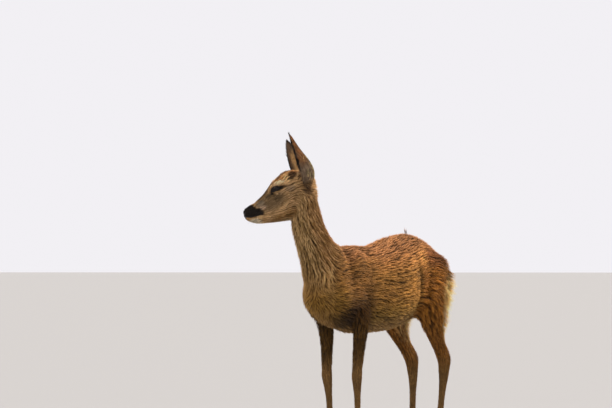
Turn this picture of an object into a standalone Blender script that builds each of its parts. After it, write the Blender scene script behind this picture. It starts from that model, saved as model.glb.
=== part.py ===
"""A roe deer doe standing alert with her head turned to her right, life size, as a museum model.

The animal faces -Y with +X on her left, and the floor is z = 0. Every flesh part is modelled as closed
lofts and muscle forms that are fused into one body, which thin cuts then part into head, neck, trunk,
tail and legs. Ears, eyes, hooves and dewclaws are solids of their own.
"""

import math

import bmesh
import bpy
import numpy as np
from mathutils import Euler, Matrix, Vector

# Driving dimensions, in metres.
EAR_LENGTH = 0.1465
EYE_RADIUS = 0.0145
GAP = 0.0004  # between two pieces that touch
HOOF_LENGTH = 0.043
HOOF_HEIGHT = 0.027
CLAW_WIDTH = 0.0150
CLEFT = 0.0022

# Fineness of the fused body, and the faces it keeps in all.
FUSE_VOXEL = 0.0045
DETAIL_VOXEL = 0.0026
BODY_TRIANGLES = 3560

# The pose: where the skull meets the neck, and how the head is turned from there, in degrees.
ATLAS = Vector((0.0, -0.376, 0.795))
HEAD_YAW = 48.0
HEAD_PITCH = 22.0
HEAD_ROLL = -4.0
STEP_BACK = {"left": 0.0, "right": 0.052}  # how far each hind foot is set behind the hip
FORE_STEP = {"left": 0.0, "right": 0.022}
SIDES = {"left": 1.0, "right": -1.0}

COATS = {
    "red_coat": (0.33, 0.145, 0.055),
    "grey_coat": (0.19, 0.115, 0.06),
    "horn": (0.022, 0.017, 0.014),
    "eye": (0.008, 0.005, 0.004),
}


# ---------------------------------------------------------------- shapes


def spline_rows(rows, steps):
    """Catmull-Rom rows through a table of stations, with `steps` rows for each stretch."""
    rows = np.asarray(rows, float)
    padded = np.vstack([2 * rows[0] - rows[1], rows, 2 * rows[-1] - rows[-2]])
    t = np.linspace(0, 1, steps, endpoint=False)[:, None]
    spans = []
    for a, b, c, d in zip(padded, padded[1:], padded[2:], padded[3:]):
        spans.append(
            0.5 * (2 * b + (c - a) * t + (2 * a - 5 * b + 4 * c - d) * t**2 + (3 * b - a - 3 * c + d) * t**3)
        )
    return np.vstack(spans + [rows[-1:]])


def rounded(value, fullness):
    """Sine or cosine bent so that an oval section fills out towards a rounded box as fullness passes 1."""
    return np.sign(value) * np.abs(value) ** (1 / fullness)


def add_loft(bm, stations, matrix=Matrix(), fullness=1.0, steps=5, around=28):
    """A closed tube through stations (x, y, z, half side, half dorsal, half ventral, turn in degrees).

    Stations run from the head end to the tail or foot end, so the dorsal side is up on the trunk, the nape
    on the neck and the rear of a leg.
    """
    rows = spline_rows(stations, steps)
    centres = rows[:, :3]
    tangents = np.gradient(centres, axis=0)
    tangents /= np.linalg.norm(tangents, axis=1)[:, None]
    angles = np.linspace(0, 2 * math.pi, around, endpoint=False)
    rings = []
    for centre, tangent, (side, dorsal, ventral, turn) in zip(centres, tangents, rows[:, 3:7]):
        across = np.array([math.cos(math.radians(turn)), math.sin(math.radians(turn)), 0.0])
        across -= tangent * (across @ tangent)
        across /= np.linalg.norm(across)
        upward = np.cross(across, tangent)
        height = np.where(np.sin(angles) > 0, dorsal, ventral) * rounded(np.sin(angles), fullness)
        points = centre + np.outer(side * rounded(np.cos(angles), fullness), across) + np.outer(height, upward)
        rings.append([bm.verts.new(matrix @ Vector(p)) for p in points])
    for near, far in zip(rings, rings[1:]):
        for i in range(around):
            j = (i + 1) % around
            bm.faces.new((near[i], near[j], far[j], far[i]))
    bm.faces.new(rings[0][::-1])
    bm.faces.new(rings[-1])


def add_mass(bm, centre, radii, tilt=(0, 0, 0), matrix=Matrix()):
    """An ellipsoid of muscle or bone, turned by Euler angles in degrees."""
    turn = Euler([math.radians(a) for a in tilt]).to_matrix().to_4x4()
    place = matrix @ Matrix.Translation(centre) @ turn @ Matrix.Diagonal((*radii, 1))
    bmesh.ops.create_uvsphere(bm, u_segments=28, v_segments=16, radius=1, matrix=place)


def add_pair(bm, centre, radii, tilt=(0, 0, 0), matrix=Matrix()):
    """A muscle form on the left and its mirror image on the right."""
    for side in SIDES.values():
        mirrored = (tilt[0], side * tilt[1], side * tilt[2])
        add_mass(bm, (side * centre[0], centre[1], centre[2]), radii, mirrored, matrix)


def object_of(bm, name):
    bmesh.ops.recalc_face_normals(bm, faces=bm.faces)
    mesh = bpy.data.meshes.new(name)
    bm.to_mesh(mesh)
    bm.free()
    made = bpy.data.objects.new(name, mesh)
    bpy.context.scene.collection.objects.link(made)
    return made


def settled(obj):
    """The object with its modifiers applied."""
    bpy.context.view_layer.update()
    mesh = bpy.data.meshes.new_from_object(obj.evaluated_get(bpy.context.evaluated_depsgraph_get()))
    obj.modifiers.clear()
    old, obj.data = obj.data, mesh
    bpy.data.meshes.remove(old)
    return obj


def fused(obj, voxel, rounds, factor=0.5):
    """One closed skin over all the shapes in a mesh, smoothed `rounds` times so that they flow together."""
    remesh = obj.modifiers.new("fuse", "REMESH")
    remesh.mode = "VOXEL"
    remesh.voxel_size = voxel
    smooth = obj.modifiers.new("flow", "SMOOTH")
    smooth.factor = factor
    smooth.iterations = rounds
    return settled(obj)


def boolean(obj, cutter, operation):
    modifier = obj.modifiers.new("cut", "BOOLEAN")
    modifier.operation = operation
    modifier.object = cutter
    return settled(obj)


def grown(obj, by):
    """A copy of a solid whose surface stands `by` further out."""
    copy = bpy.data.objects.new(obj.name + "_grown", obj.data.copy())
    bpy.context.scene.collection.objects.link(copy)
    displace = copy.modifiers.new("grow", "DISPLACE")
    displace.strength = by
    displace.mid_level = 0
    return settled(copy)


def drop(*objects):
    for obj in objects:
        bpy.data.objects.remove(obj)


# ---------------------------------------------------------------- the body plan

HEAD = (
    Matrix.Translation(ATLAS)
    @ Matrix.Rotation(math.radians(-HEAD_YAW), 4, "Z")
    @ Matrix.Rotation(math.radians(HEAD_PITCH), 4, "X")
    @ Matrix.Rotation(math.radians(HEAD_ROLL), 4, "Y")
)


def along(y, top, bottom, half, x=0.0, turn=0.0):
    """A station of a part that runs along Y, from its top and bottom heights and its half width."""
    middle = (top + bottom) / 2
    return (x, y, middle, half, top - middle, middle - bottom, turn)


def trunk_stations():
    return [
        along(-0.328, 0.508, 0.450, 0.024),  # breast
        along(-0.303, 0.558, 0.413, 0.050),
        along(-0.255, 0.604, 0.389, 0.066),
        along(-0.190, 0.638, 0.377, 0.071),  # withers
        along(-0.120, 0.640, 0.373, 0.082),
        along(-0.050, 0.638, 0.374, 0.094),  # the dip of the back
        along(0.030, 0.652, 0.381, 0.102),  # barrel
        along(0.095, 0.671, 0.402, 0.098),
        along(0.150, 0.679, 0.434, 0.086),  # loin
        along(0.205, 0.662, 0.450, 0.076),  # croup
        along(0.252, 0.626, 0.462, 0.064),
        along(0.288, 0.588, 0.480, 0.050),
        along(0.310, 0.562, 0.505, 0.028),  # buttocks
    ]


def neck_stations():
    """From the skull down into the chest; the head's turn fades out on the way down."""
    return [
        (-0.006, -0.392, 0.822, 0.026, 0.026, 0.026, -HEAD_YAW),
        (-0.003, -0.384, 0.785, 0.040, 0.042, 0.047, -0.8 * HEAD_YAW),
        (-0.001, -0.374, 0.735, 0.043, 0.049, 0.054, -0.5 * HEAD_YAW),
        (0.000, -0.352, 0.685, 0.047, 0.051, 0.058, -0.2 * HEAD_YAW),
        (0.000, -0.316, 0.632, 0.054, 0.056, 0.068, 0.0),
        (0.000, -0.270, 0.575, 0.063, 0.067, 0.086, 0.0),
        (0.000, -0.215, 0.525, 0.062, 0.080, 0.090, 0.0),
        (0.000, -0.170, 0.490, 0.050, 0.060, 0.060, 0.0),
    ]


def fore_stations(side, step):
    """Elbow to coronet of a foreleg."""

    def at(x, y, z, across, rear, front):
        return (side * x, y + step * (1 - z / 0.52), z, across, rear, front, 0.0)

    return [
        at(0.058, -0.196, 0.490, 0.024, 0.040, 0.040),
        at(0.063, -0.184, 0.440, 0.027, 0.040, 0.040),  # elbow
        at(0.064, -0.178, 0.390, 0.0235, 0.029, 0.029),
        at(0.062, -0.181, 0.335, 0.0185, 0.0215, 0.0215),
        at(0.060, -0.186, 0.280, 0.0155, 0.0165, 0.0165),
        at(0.059, -0.188, 0.248, 0.0165, 0.0165, 0.0185),  # knee
        at(0.058, -0.186, 0.222, 0.0140, 0.0150, 0.0155),
        at(0.057, -0.183, 0.180, 0.0105, 0.0120, 0.0115),
        at(0.056, -0.181, 0.120, 0.0100, 0.0115, 0.0110),
        at(0.055, -0.182, 0.088, 0.0125, 0.0150, 0.0135),  # fetlock
        at(0.055, -0.189, 0.064, 0.0120, 0.0135, 0.0125),
        at(0.055, -0.199, 0.042, 0.0135, 0.0135, 0.0140),  # pastern
        at(0.055, -0.206, 0.024, 0.0150, 0.0150, 0.0160),  # coronet
        at(0.055, -0.208, 0.016, 0.0120, 0.0120, 0.0120),
    ]


def hind_stations(side, step):
    """Stifle to coronet of a hind leg."""

    def at(x, y, z, across, rear, front):
        return (side * x, y + step * (1 - z / 0.58), z, across, rear, front, 0.0)

    return [
        at(0.066, 0.205, 0.520, 0.036, 0.075, 0.070),
        at(0.074, 0.188, 0.450, 0.036, 0.066, 0.060),  # stifle
        at(0.075, 0.208, 0.396, 0.029, 0.047, 0.046),
        at(0.072, 0.234, 0.348, 0.0215, 0.034, 0.032),
        at(0.070, 0.254, 0.312, 0.0165, 0.031, 0.0245),
        at(0.069, 0.264, 0.288, 0.0150, 0.0335, 0.0225),  # point of the hock
        at(0.068, 0.268, 0.264, 0.0155, 0.0235, 0.0215),
        at(0.067, 0.268, 0.236, 0.0140, 0.0165, 0.0180),
        at(0.066, 0.262, 0.195, 0.0110, 0.0130, 0.0130),
        at(0.065, 0.254, 0.140, 0.0102, 0.0118, 0.0115),
        at(0.064, 0.249, 0.092, 0.0130, 0.0150, 0.0140),  # fetlock
        at(0.064, 0.240, 0.066, 0.0120, 0.0135, 0.0125),
        at(0.064, 0.229, 0.043, 0.0135, 0.0135, 0.0140),  # pastern
        at(0.064, 0.221, 0.024, 0.0150, 0.0150, 0.0160),  # coronet
        at(0.064, 0.219, 0.016, 0.0120, 0.0120, 0.0120),
    ]


def head_stations():
    """Nose to poll, in the head's own frame: the atlas is the origin and the nose points along -Y."""
    return [
        along(-0.1950, 0.0185, 0.0005, 0.0080),
        along(-0.1890, 0.0255, -0.0085, 0.0145),  # nose
        along(-0.1740, 0.0318, -0.0205, 0.0178),  # lips
        along(-0.1540, 0.0352, -0.0318, 0.0200),
        along(-0.1310, 0.0428, -0.0382, 0.0238),
        along(-0.1070, 0.0530, -0.0450, 0.0290),  # face
        along(-0.0820, 0.0660, -0.0522, 0.0345),  # eyes
        along(-0.0600, 0.0762, -0.0555, 0.0365),
        along(-0.0350, 0.0828, -0.0565, 0.0370),  # forehead
        along(-0.0100, 0.0780, -0.0545, 0.0370),
        along(0.0150, 0.0600, -0.0450, 0.0340),  # poll
        along(0.0350, 0.0350, -0.0300, 0.0220),
    ]


def torso():
    """Trunk, neck and the big muscles, smoothed hard so that they flow into each other."""
    bm = bmesh.new()
    add_loft(bm, trunk_stations(), fullness=1.06)
    add_loft(bm, neck_stations())
    add_pair(bm, (0.030, -0.192, 0.545), (0.041, 0.062, 0.088), (-28, 8, 0))  # shoulder blade
    add_pair(bm, (0.050, -0.205, 0.466), (0.036, 0.068, 0.054), (20, 0, 0))  # upper arm
    add_pair(bm, (0.045, -0.258, 0.490), (0.031, 0.038, 0.050))  # point of the shoulder
    add_pair(bm, (0.036, 0.160, 0.592), (0.046, 0.082, 0.046), (-10, 0, 0))  # hip
    add_pair(bm, (0.056, 0.218, 0.520), (0.042, 0.080, 0.104), (-14, 0, 0))  # thigh
    add_pair(bm, (0.070, 0.168, 0.462), (0.035, 0.052, 0.062), (-20, 0, 0))  # stifle
    add_pair(bm, (0.040, 0.262, 0.520), (0.036, 0.038, 0.075), (6, 0, 0))  # buttock
    return fused(object_of(bm, "torso"), FUSE_VOXEL, 60)


def skull():
    """The head with its brows, cheeks, lips and chin, in place on the neck."""
    bm = bmesh.new()
    add_loft(bm, head_stations(), HEAD, fullness=1.12)
    add_mass(bm, (0, -0.030, 0.048), (0.036, 0.048, 0.038), matrix=HEAD)  # cranium
    add_pair(bm, (0.0235, -0.074, 0.0440), (0.0180, 0.032, 0.0185), (8, 0, -6), HEAD)  # brow and orbit
    add_pair(bm, (0.0165, -0.108, 0.0280), (0.0110, 0.034, 0.0130), (20, 0, -10), HEAD)  # before the eye
    add_pair(bm, (0.0200, -0.030, -0.006), (0.0200, 0.042, 0.036), (-12, 0, 6), HEAD)  # cheek
    add_pair(bm, (0.0290, -0.045, 0.024), (0.0115, 0.044, 0.0115), (-6, 0, 8), HEAD)  # cheekbone
    add_pair(bm, (0.0310, 0.004, 0.048), (0.0170, 0.020, 0.022), (0, 0, 0), HEAD)  # root of the ear
    add_mass(bm, (0, -0.1850, 0.0140), (0.0160, 0.0110, 0.0130), (-20, 0, 0), HEAD)  # nose pad
    add_pair(bm, (0.0085, -0.170, 0.004), (0.0110, 0.019, 0.0130), (-12, 0, 0), HEAD)  # upper lip
    add_mass(bm, (0, -0.160, -0.0190), (0.0130, 0.018, 0.0115), (-16, 0, 0), HEAD)  # chin
    return fused(object_of(bm, "skull"), DETAIL_VOXEL, 9)


def add_limbs(bm):
    for side, sign in SIDES.items():
        add_loft(bm, fore_stations(sign, FORE_STEP[side]))
        add_loft(bm, hind_stations(sign, STEP_BACK[side]))


def add_tail(bm):
    add_mass(bm, (0, 0.308, 0.582), (0.015, 0.015, 0.034), (26, 0, 0))


def body():
    """All the flesh as one closed skin."""
    chest, head = torso(), skull()
    bm = bmesh.new()
    bm.from_mesh(chest.data)
    bm.from_mesh(head.data)
    add_limbs(bm)
    add_tail(bm)
    drop(chest, head)
    whole = fused(object_of(bm, "body"), DETAIL_VOXEL, 6)
    thin = whole.modifiers.new("thin", "DECIMATE")
    thin.ratio = BODY_TRIANGLES / (2 * len(whole.data.polygons))
    return settled(whole)


# ---------------------------------------------------------------- parting the body


def block(name, frame, hold, centre_share, size, tilt, shear):
    """A box that marks off one part of the body. `hold` is a point of the box that is `centre_share` of its
    size away from its centre, and a shear makes its top climb outwards or its ends lean."""
    bm = bmesh.new()
    turn = Euler([math.radians(a) for a in tilt]).to_matrix().to_4x4()
    outward, lean = shear
    slant = Matrix(((1, 0, 0, 0), (0, 1, lean, 0), (outward, 0, 1, 0), (0, 0, 0, 1)))
    offset = Matrix.Translation([-share * extent for share, extent in zip(centre_share, size)])
    bmesh.ops.create_cube(bm, size=1, matrix=Matrix.Diagonal((*size, 1)))
    bmesh.ops.transform(bm, verts=bm.verts, matrix=frame @ Matrix.Translation(hold) @ turn @ slant @ offset)
    return object_of(bm, name)


def part_off(whole, name, hold, share, size, tilt=(0, 0, 0), shear=(0, 0), frame=Matrix()):
    """Takes the flesh inside a block off the body as a piece of its own, and leaves a thin gap round it."""
    piece = bpy.data.objects.new(name, whole.data.copy())
    bpy.context.scene.collection.objects.link(piece)
    region = block("region", frame, hold, share, size, tilt, shear)
    clear = grown(region, GAP)
    boolean(piece, region, "INTERSECT")
    boolean(whole, clear, "DIFFERENCE")
    drop(region, clear)
    return piece


# Where a block is held: at the middle of its top, rear or front face, or along its low rear edge.
TOP = (0, 0, 0.5)
REAR = (0, 0.5, 0)
FRONT = (0, -0.5, 0)
LOW_REAR = (0, 0.5, -0.5)


def leg_pieces(whole):
    """Each leg in three lengths: upper, cannon and pastern."""
    pieces = {}
    for side, sign in SIDES.items():
        fore, back = FORE_STEP[side], STEP_BACK[side]
        x = sign * 0.062
        for name, hold, size, tilt, shear in (
            (f"fore_{side}_pastern", (x, -0.185 + 0.85 * fore, 0.084), (0.08, 0.12, 0.100), (-8, 0, 0), (0, 0)),
            (f"fore_{side}_cannon", (x, -0.187 + 0.55 * fore, 0.236), (0.08, 0.14, 0.180), (0, 0, 0), (0, 0)),
            (
                f"fore_{side}_arm",
                (sign * 0.098, -0.190 + 0.25 * fore, 0.452),
                (0.150, 0.098, 0.280),
                (0, 0, 0),
                (sign * 0.75, 0.1),
            ),
            (f"hind_{side}_pastern", (x, 0.247 + 0.9 * back, 0.086), (0.08, 0.12, 0.100), (-8, 0, 0), (0, 0)),
            (f"hind_{side}_cannon", (x, 0.267 + 0.6 * back, 0.254), (0.08, 0.14, 0.200), (-4, 0, 0), (0, 0)),
            (
                f"hind_{side}_thigh",
                (sign * 0.118, 0.245, 0.545),
                (0.212, 0.236, 0.330),
                (0, 0, 0),
                (sign * 0.90, 0.18),
            ),
        ):
            pieces[name] = part_off(whole, name, hold, TOP, size, tilt, shear)
    return pieces


def part_body(whole):
    pieces = leg_pieces(whole)
    pieces["head"] = part_off(
        whole, "head", (0, -0.022, -0.064), LOW_REAR, (0.20, 0.240, 0.20), shear=(0, 0.55), frame=HEAD
    )
    pieces["neck"] = part_off(whole, "neck", (0, -0.240, 0.575), REAR, (0.24, 0.320, 0.560), (-32, 0, 0))
    pieces["tail"] = part_off(whole, "tail", (0, 0.302, 0.586), FRONT, (0.052, 0.090, 0.110), (-24, 0, 0))
    whole.name = "trunk"
    pieces["trunk"] = whole
    return pieces


# ---------------------------------------------------------------- ears, eyes and hooves

# Along an ear from root to tip: share of its length, radius of its cup, and half the angle that it wraps.
EAR_FORM = (
    (-0.15, 0.0110, 174),
    (-0.04, 0.0165, 168),
    (0.08, 0.0200, 152),
    (0.26, 0.0240, 122),
    (0.44, 0.0254, 96),
    (0.62, 0.0228, 78),
    (0.78, 0.0176, 68),
    (0.91, 0.0108, 62),
    (1.00, 0.0026, 50),
)
EAR_ROOT = (0.0350, 0.004, 0.046)
EAR_SPREAD = {"left": 10.0, "right": 24.0}
EAR_LEAN_BACK = {"left": 4.5, "right": 6.5}
EAR_TURN_IN = {"left": 6.0, "right": 16.0}
EAR_WALL = 0.0036


def ear(side):
    """A cupped leaf: arcs set along the ear, whose front edges keep to one line while the back bulges."""
    sign = SIDES[side]
    place = (
        HEAD
        @ Matrix.Translation((sign * EAR_ROOT[0], EAR_ROOT[1], EAR_ROOT[2]))
        @ Matrix.Rotation(math.radians(sign * EAR_SPREAD[side]), 4, "Y")
        @ Matrix.Rotation(math.radians(-EAR_LEAN_BACK[side]), 4, "X")
        @ Matrix.Rotation(math.radians(-sign * EAR_TURN_IN[side]), 4, "Z")
    )
    bm = bmesh.new()
    rows = []
    for share, radius, wrap in spline_rows(EAR_FORM, 2):
        bend = np.radians(wrap) * np.linspace(-1, 1, 8)
        back = radius * (np.cos(bend) - math.cos(math.radians(wrap)))
        across = radius * np.sin(bend)
        height = share * EAR_LENGTH
        rows.append([bm.verts.new(place @ Vector((x, y, height))) for x, y in zip(across, back)])
    for low, high in zip(rows, rows[1:]):
        for i in range(len(low) - 1):
            bm.faces.new((low[i], low[i + 1], high[i + 1], high[i]))
    made = object_of(bm, f"ear_{side}")
    wall = made.modifiers.new("wall", "SOLIDIFY")
    wall.thickness = EAR_WALL
    wall.offset = 0
    wall.use_even_offset = True
    return settled(made)


EYE_PLACE = (0.0308, -0.0800, 0.0440)


def eye(side):
    bm = bmesh.new()
    centre = Vector((SIDES[side] * EYE_PLACE[0], EYE_PLACE[1], EYE_PLACE[2]))
    place = HEAD @ Matrix.Translation(centre)
    bmesh.ops.create_uvsphere(bm, u_segments=14, v_segments=9, radius=EYE_RADIUS, matrix=place)
    return object_of(bm, f"eye_{side}")


def claw(name, heel, outward):
    """One toe of a cloven hoof: a flat sole with a pointed tip, and a wall that slopes back to the hair line."""
    around = 10
    bm = bmesh.new()
    rings = []
    for height in (0.0, 0.12, 0.6, 1.0):
        shrink = 1 - 0.24 * height**1.5
        ring = []
        for k in range(around):
            angle = 2 * math.pi * k / around
            reach = math.cos(angle)  # 1 at the toe, -1 at the heel
            side = math.sin(angle) * (1 - 0.40 * max(reach, 0) ** 2)
            side *= 1.0 if side > 0 else 0.62  # the cleft side is flatter
            forward = 0.5 * HOOF_LENGTH * (1 + reach * shrink) - 0.30 * HOOF_LENGTH * height
            tall = HOOF_HEIGHT * (0.78 + 0.22 * reach)
            x = heel[0] + outward * (0.5 * CLEFT + CLAW_WIDTH * (0.62 + side * shrink) / 1.62)
            ring.append(bm.verts.new((x, heel[1] - forward, height * tall)))
        rings.append(ring)
    for low, high in zip(rings, rings[1:]):
        for i in range(around):
            j = (i + 1) % around
            bm.faces.new((low[i], low[j], high[j], high[i]))
    bm.faces.new(rings[0][::-1])
    bm.faces.new(rings[-1])
    return object_of(bm, name)


def dewclaw(name, centre):
    bm = bmesh.new()
    lean = Matrix.Rotation(math.radians(24), 4, "X")
    shape = Matrix.Translation(centre) @ lean @ Matrix.Diagonal((0.0055, 0.0065, 0.0115, 1))
    bmesh.ops.create_uvsphere(bm, u_segments=7, v_segments=5, radius=1, matrix=shape)
    return object_of(bm, name)


def foot(side, end):
    """The two claws and two dewclaws of one foot, placed from the coronet of its leg."""
    sign = SIDES[side]
    if end == "fore":
        stations = fore_stations(sign, FORE_STEP[side])
    else:
        stations = hind_stations(sign, STEP_BACK[side])
    x, y = stations[-2][:2]
    made = []
    for toe, outward in (("inner", -sign), ("outer", sign)):
        made.append(claw(f"{end}_{side}_hoof_{toe}", (x, y + 0.011), outward))
        made.append(dewclaw(f"{end}_{side}_dewclaw_{toe}", (x + 0.0095 * outward, y + 0.030, 0.058)))
    return made


# ---------------------------------------------------------------- finish


def seat(flesh, *solids):
    """Cuts a close-fitting seat in the flesh for each solid that is set in it."""
    for solid in solids:
        room = grown(solid, GAP)
        boolean(flesh, room, "DIFFERENCE")
        drop(room)


def paint(obj, coat, roughness):
    material = bpy.data.materials.get(coat) or bpy.data.materials.new(coat)
    material.use_nodes = True
    shader = material.node_tree.nodes["Principled BSDF"]
    shader.inputs["Base Color"].default_value = (*COATS[coat], 1)
    shader.inputs["Roughness"].default_value = roughness
    obj.data.materials.clear()
    obj.data.materials.append(material)


def stand_over_origin(pieces):
    """Moves every piece so that the middle of the whole box, seen from above, is the origin."""
    corners = np.array([v.co for piece in pieces for v in piece.data.vertices])
    low, high = corners.min(0), corners.max(0)
    shift = Matrix.Translation((-(low[0] + high[0]) / 2, -(low[1] + high[1]) / 2, 0))
    for piece in pieces:
        piece.data.transform(shift)


def main():
    for obj in list(bpy.data.objects):
        bpy.data.objects.remove(obj)
    flesh = part_body(body())
    eyes = [eye(side) for side in SIDES]
    seat(flesh["head"], *eyes)
    ears = [ear(side) for side in SIDES]
    for made in ears:
        seat(made, flesh["head"])
    horn = []
    for end in ("fore", "hind"):
        for side in SIDES:
            made = foot(side, end)
            seat(flesh[f"{end}_{side}_pastern"], *made)
            horn += made
    for name, piece in flesh.items():
        paint(piece, "grey_coat" if name in ("head", "neck") else "red_coat", 0.85)
    for piece in ears:
        paint(piece, "grey_coat", 0.85)
    for piece in eyes:
        paint(piece, "eye", 0.08)
    for piece in horn:
        paint(piece, "horn", 0.45)
    pieces = [*flesh.values(), *ears, *eyes, *horn]
    stand_over_origin(pieces)
    group = bpy.data.collections.new("roe_deer")
    bpy.context.scene.collection.children.link(group)
    for piece in pieces:
        bpy.context.scene.collection.objects.unlink(piece)
        group.objects.link(piece)
        piece.data.shade_smooth()


main()
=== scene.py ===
import math
from itertools import product

import bpy
import numpy as np
from mathutils import Euler, Matrix, Vector


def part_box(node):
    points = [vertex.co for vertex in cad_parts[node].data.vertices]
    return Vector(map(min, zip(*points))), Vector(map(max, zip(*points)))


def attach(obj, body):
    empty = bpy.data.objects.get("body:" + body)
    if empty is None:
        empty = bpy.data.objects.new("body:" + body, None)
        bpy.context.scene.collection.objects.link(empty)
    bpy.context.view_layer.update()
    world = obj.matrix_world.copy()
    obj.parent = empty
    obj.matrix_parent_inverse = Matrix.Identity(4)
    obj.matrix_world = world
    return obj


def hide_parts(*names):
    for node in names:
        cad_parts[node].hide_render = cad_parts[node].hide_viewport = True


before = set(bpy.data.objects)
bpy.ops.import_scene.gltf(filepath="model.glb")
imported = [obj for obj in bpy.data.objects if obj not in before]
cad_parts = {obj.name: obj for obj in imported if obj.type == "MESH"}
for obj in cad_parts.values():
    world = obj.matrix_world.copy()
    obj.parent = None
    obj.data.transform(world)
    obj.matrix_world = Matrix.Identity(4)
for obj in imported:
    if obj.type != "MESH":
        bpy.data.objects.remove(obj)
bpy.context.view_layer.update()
rng = np.random.default_rng(11)

# ---- small helpers


def unit(vectors):
    # v / |v| along the last axis
    return vectors / np.maximum(np.linalg.norm(vectors, axis=-1, keepdims=True), 1e-12)


def smoothStep(low, high, value):
    # 0 below low, 1 above high, 3t² - 2t³ between
    t = np.clip((value - low) / (high - low), 0, 1)
    return t * t * (3 - 2 * t)


def linearColour(code):
    # sRGB hex to linear: ((c + 0.055) / 1.055) ^ 2.4, or c / 12.92 when dark
    c = np.array([int(code[i : i + 2], 16) for i in (1, 3, 5)]) / 255
    return np.where(c > 0.04045, ((c + 0.055) / 1.055) ** 2.4, c / 12.92)


def scrambled(key):
    # 0 to 1 from whole numbers, with no pattern between neighbours
    key = (key ^ (key >> 13)) * 1274126177 & 0xFFFFFFFF
    return ((key ^ (key >> 16)) & 0xFFFF) / 65535


def latticeNoise(points, seed=0):
    # value noise from 0 to 1: hashed corners of the unit cell, blended by 3t² - 2t³ along each axis
    cell = np.floor(points).astype(np.int64)
    local = points - cell
    ease = local * local * (3 - 2 * local)
    total = np.zeros(len(points))
    for corner in product((0, 1), repeat=3):
        value = scrambled((cell + corner) @ np.array([73856093, 19349663, 83492791]) + seed * 40503)
        total += np.where(corner, ease, 1 - ease).prod(1) * value
    return total


def splineRows(rows, steps):
    # Catmull-Rom: q(t) = ½(2b + (c - a)t + (2a - 5b + 4c - d)t² + (3b - a - 3c + d)t³)
    rows = np.asarray(rows, float)
    padded = np.vstack([2 * rows[0] - rows[1], rows, 2 * rows[-1] - rows[-2]])
    t = np.linspace(0, 1, steps, endpoint=False)[None, :, None]
    a, b, c, d = (padded[i : len(rows) - 1 + i, None, :] for i in range(4))
    spans = 0.5 * (2 * b + (c - a) * t + (2 * a - 5 * b + 4 * c - d) * t**2 + (3 * b - a - 3 * c + d) * t**3)
    return np.vstack([spans.reshape(-1, rows.shape[1]), rows[-1:]])


def placed(points, place):
    return points @ np.array(place)[:3, :3].T + np.array(place)[:3, 3]


def turned(vectors, place):
    return vectors @ np.array(place)[:3, :3].T


def spin(degrees, axis):
    return Matrix.Rotation(math.radians(degrees), 4, axis)


# ---- body plan: the doe faces -Y, her left is +X, the floor is z = 0

plan = {
    "atlas": (0.0, -0.376, 0.795),  # where the skull meets the neck
    "headYaw": 48.0,
    "headPitch": 22.0,
    "headRoll": -4.0,
    "step": {"fore": {"left": 0.0, "right": 0.022}, "hind": {"left": 0.0, "right": 0.052}},  # feet set back
    "legTop": {"fore": 0.52, "hind": 0.58},
    "eye": (0.0308, -0.08, 0.044),  # in the head's own frame, nose along -Y
    "earRoot": (0.0375, 0.004, 0.046),
    "earLength": 0.1385,
    "earSpread": {"left": 10.0, "right": 24.0},
    "earLeanBack": {"left": 4.5, "right": 6.5},
    "earTurnIn": {"left": 4.0, "right": 34.0},
}
sides = {"left": 1.0, "right": -1.0}

headPlace = (
    Matrix.Translation(plan["atlas"])
    @ spin(-plan["headYaw"], "Z")
    @ spin(plan["headPitch"], "X")
    @ spin(plan["headRoll"], "Y")
)


def boxMiddle(node):
    low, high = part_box(node)
    return (np.array(low) + np.array(high)) / 2


# The plan's own origin differs from the frame's by this much; the left eyeball tells it.
shift = boxMiddle("eye_left") - np.array(headPlace @ Vector(plan["eye"]))
headPlace = Matrix.Translation(shift) @ headPlace
headBack = headPlace.inverted()
print("plan shifted by", shift.round(4).tolist())


def level(y, top, bottom, half):
    # station of a part that runs along Y: x, y, z, half side, half up, half down, turn
    return (0.0, y, (top + bottom) / 2, half, (top - bottom) / 2, (top - bottom) / 2, 0.0)


trunkStations = [
    level(*row)
    for row in (
        (-0.328, 0.508, 0.45, 0.024),  # breast
        (-0.303, 0.558, 0.413, 0.05),
        (-0.255, 0.604, 0.389, 0.066),
        (-0.19, 0.638, 0.377, 0.071),  # withers
        (-0.12, 0.64, 0.373, 0.082),
        (-0.05, 0.638, 0.374, 0.094),
        (0.03, 0.652, 0.381, 0.102),  # barrel
        (0.095, 0.671, 0.402, 0.098),
        (0.15, 0.679, 0.434, 0.086),  # loin
        (0.205, 0.662, 0.45, 0.076),  # croup
        (0.252, 0.626, 0.462, 0.064),
        (0.288, 0.588, 0.48, 0.05),
        (0.31, 0.562, 0.505, 0.028),  # buttocks
    )
]
yaw = plan["headYaw"]
neckStations = [
    (-0.006, -0.392, 0.822, 0.026, 0.026, 0.026, -yaw),
    (-0.003, -0.384, 0.785, 0.04, 0.042, 0.047, -0.8 * yaw),
    (-0.001, -0.374, 0.735, 0.043, 0.049, 0.054, -0.5 * yaw),
    (0.0, -0.352, 0.685, 0.047, 0.051, 0.058, -0.2 * yaw),
    (0.0, -0.316, 0.632, 0.054, 0.056, 0.068, 0.0),
    (0.0, -0.27, 0.575, 0.063, 0.067, 0.086, 0.0),
    (0.0, -0.215, 0.525, 0.062, 0.08, 0.09, 0.0),
    (0.0, -0.17, 0.49, 0.05, 0.06, 0.06, 0.0),
]
chestStations = [  # the neck's hair runs on down the front of the chest
    (0.0, -0.292, 0.515, 0.052, 0.05, 0.06, 0.0),
    (0.0, -0.285, 0.445, 0.046, 0.045, 0.05, 0.0),
]
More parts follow.
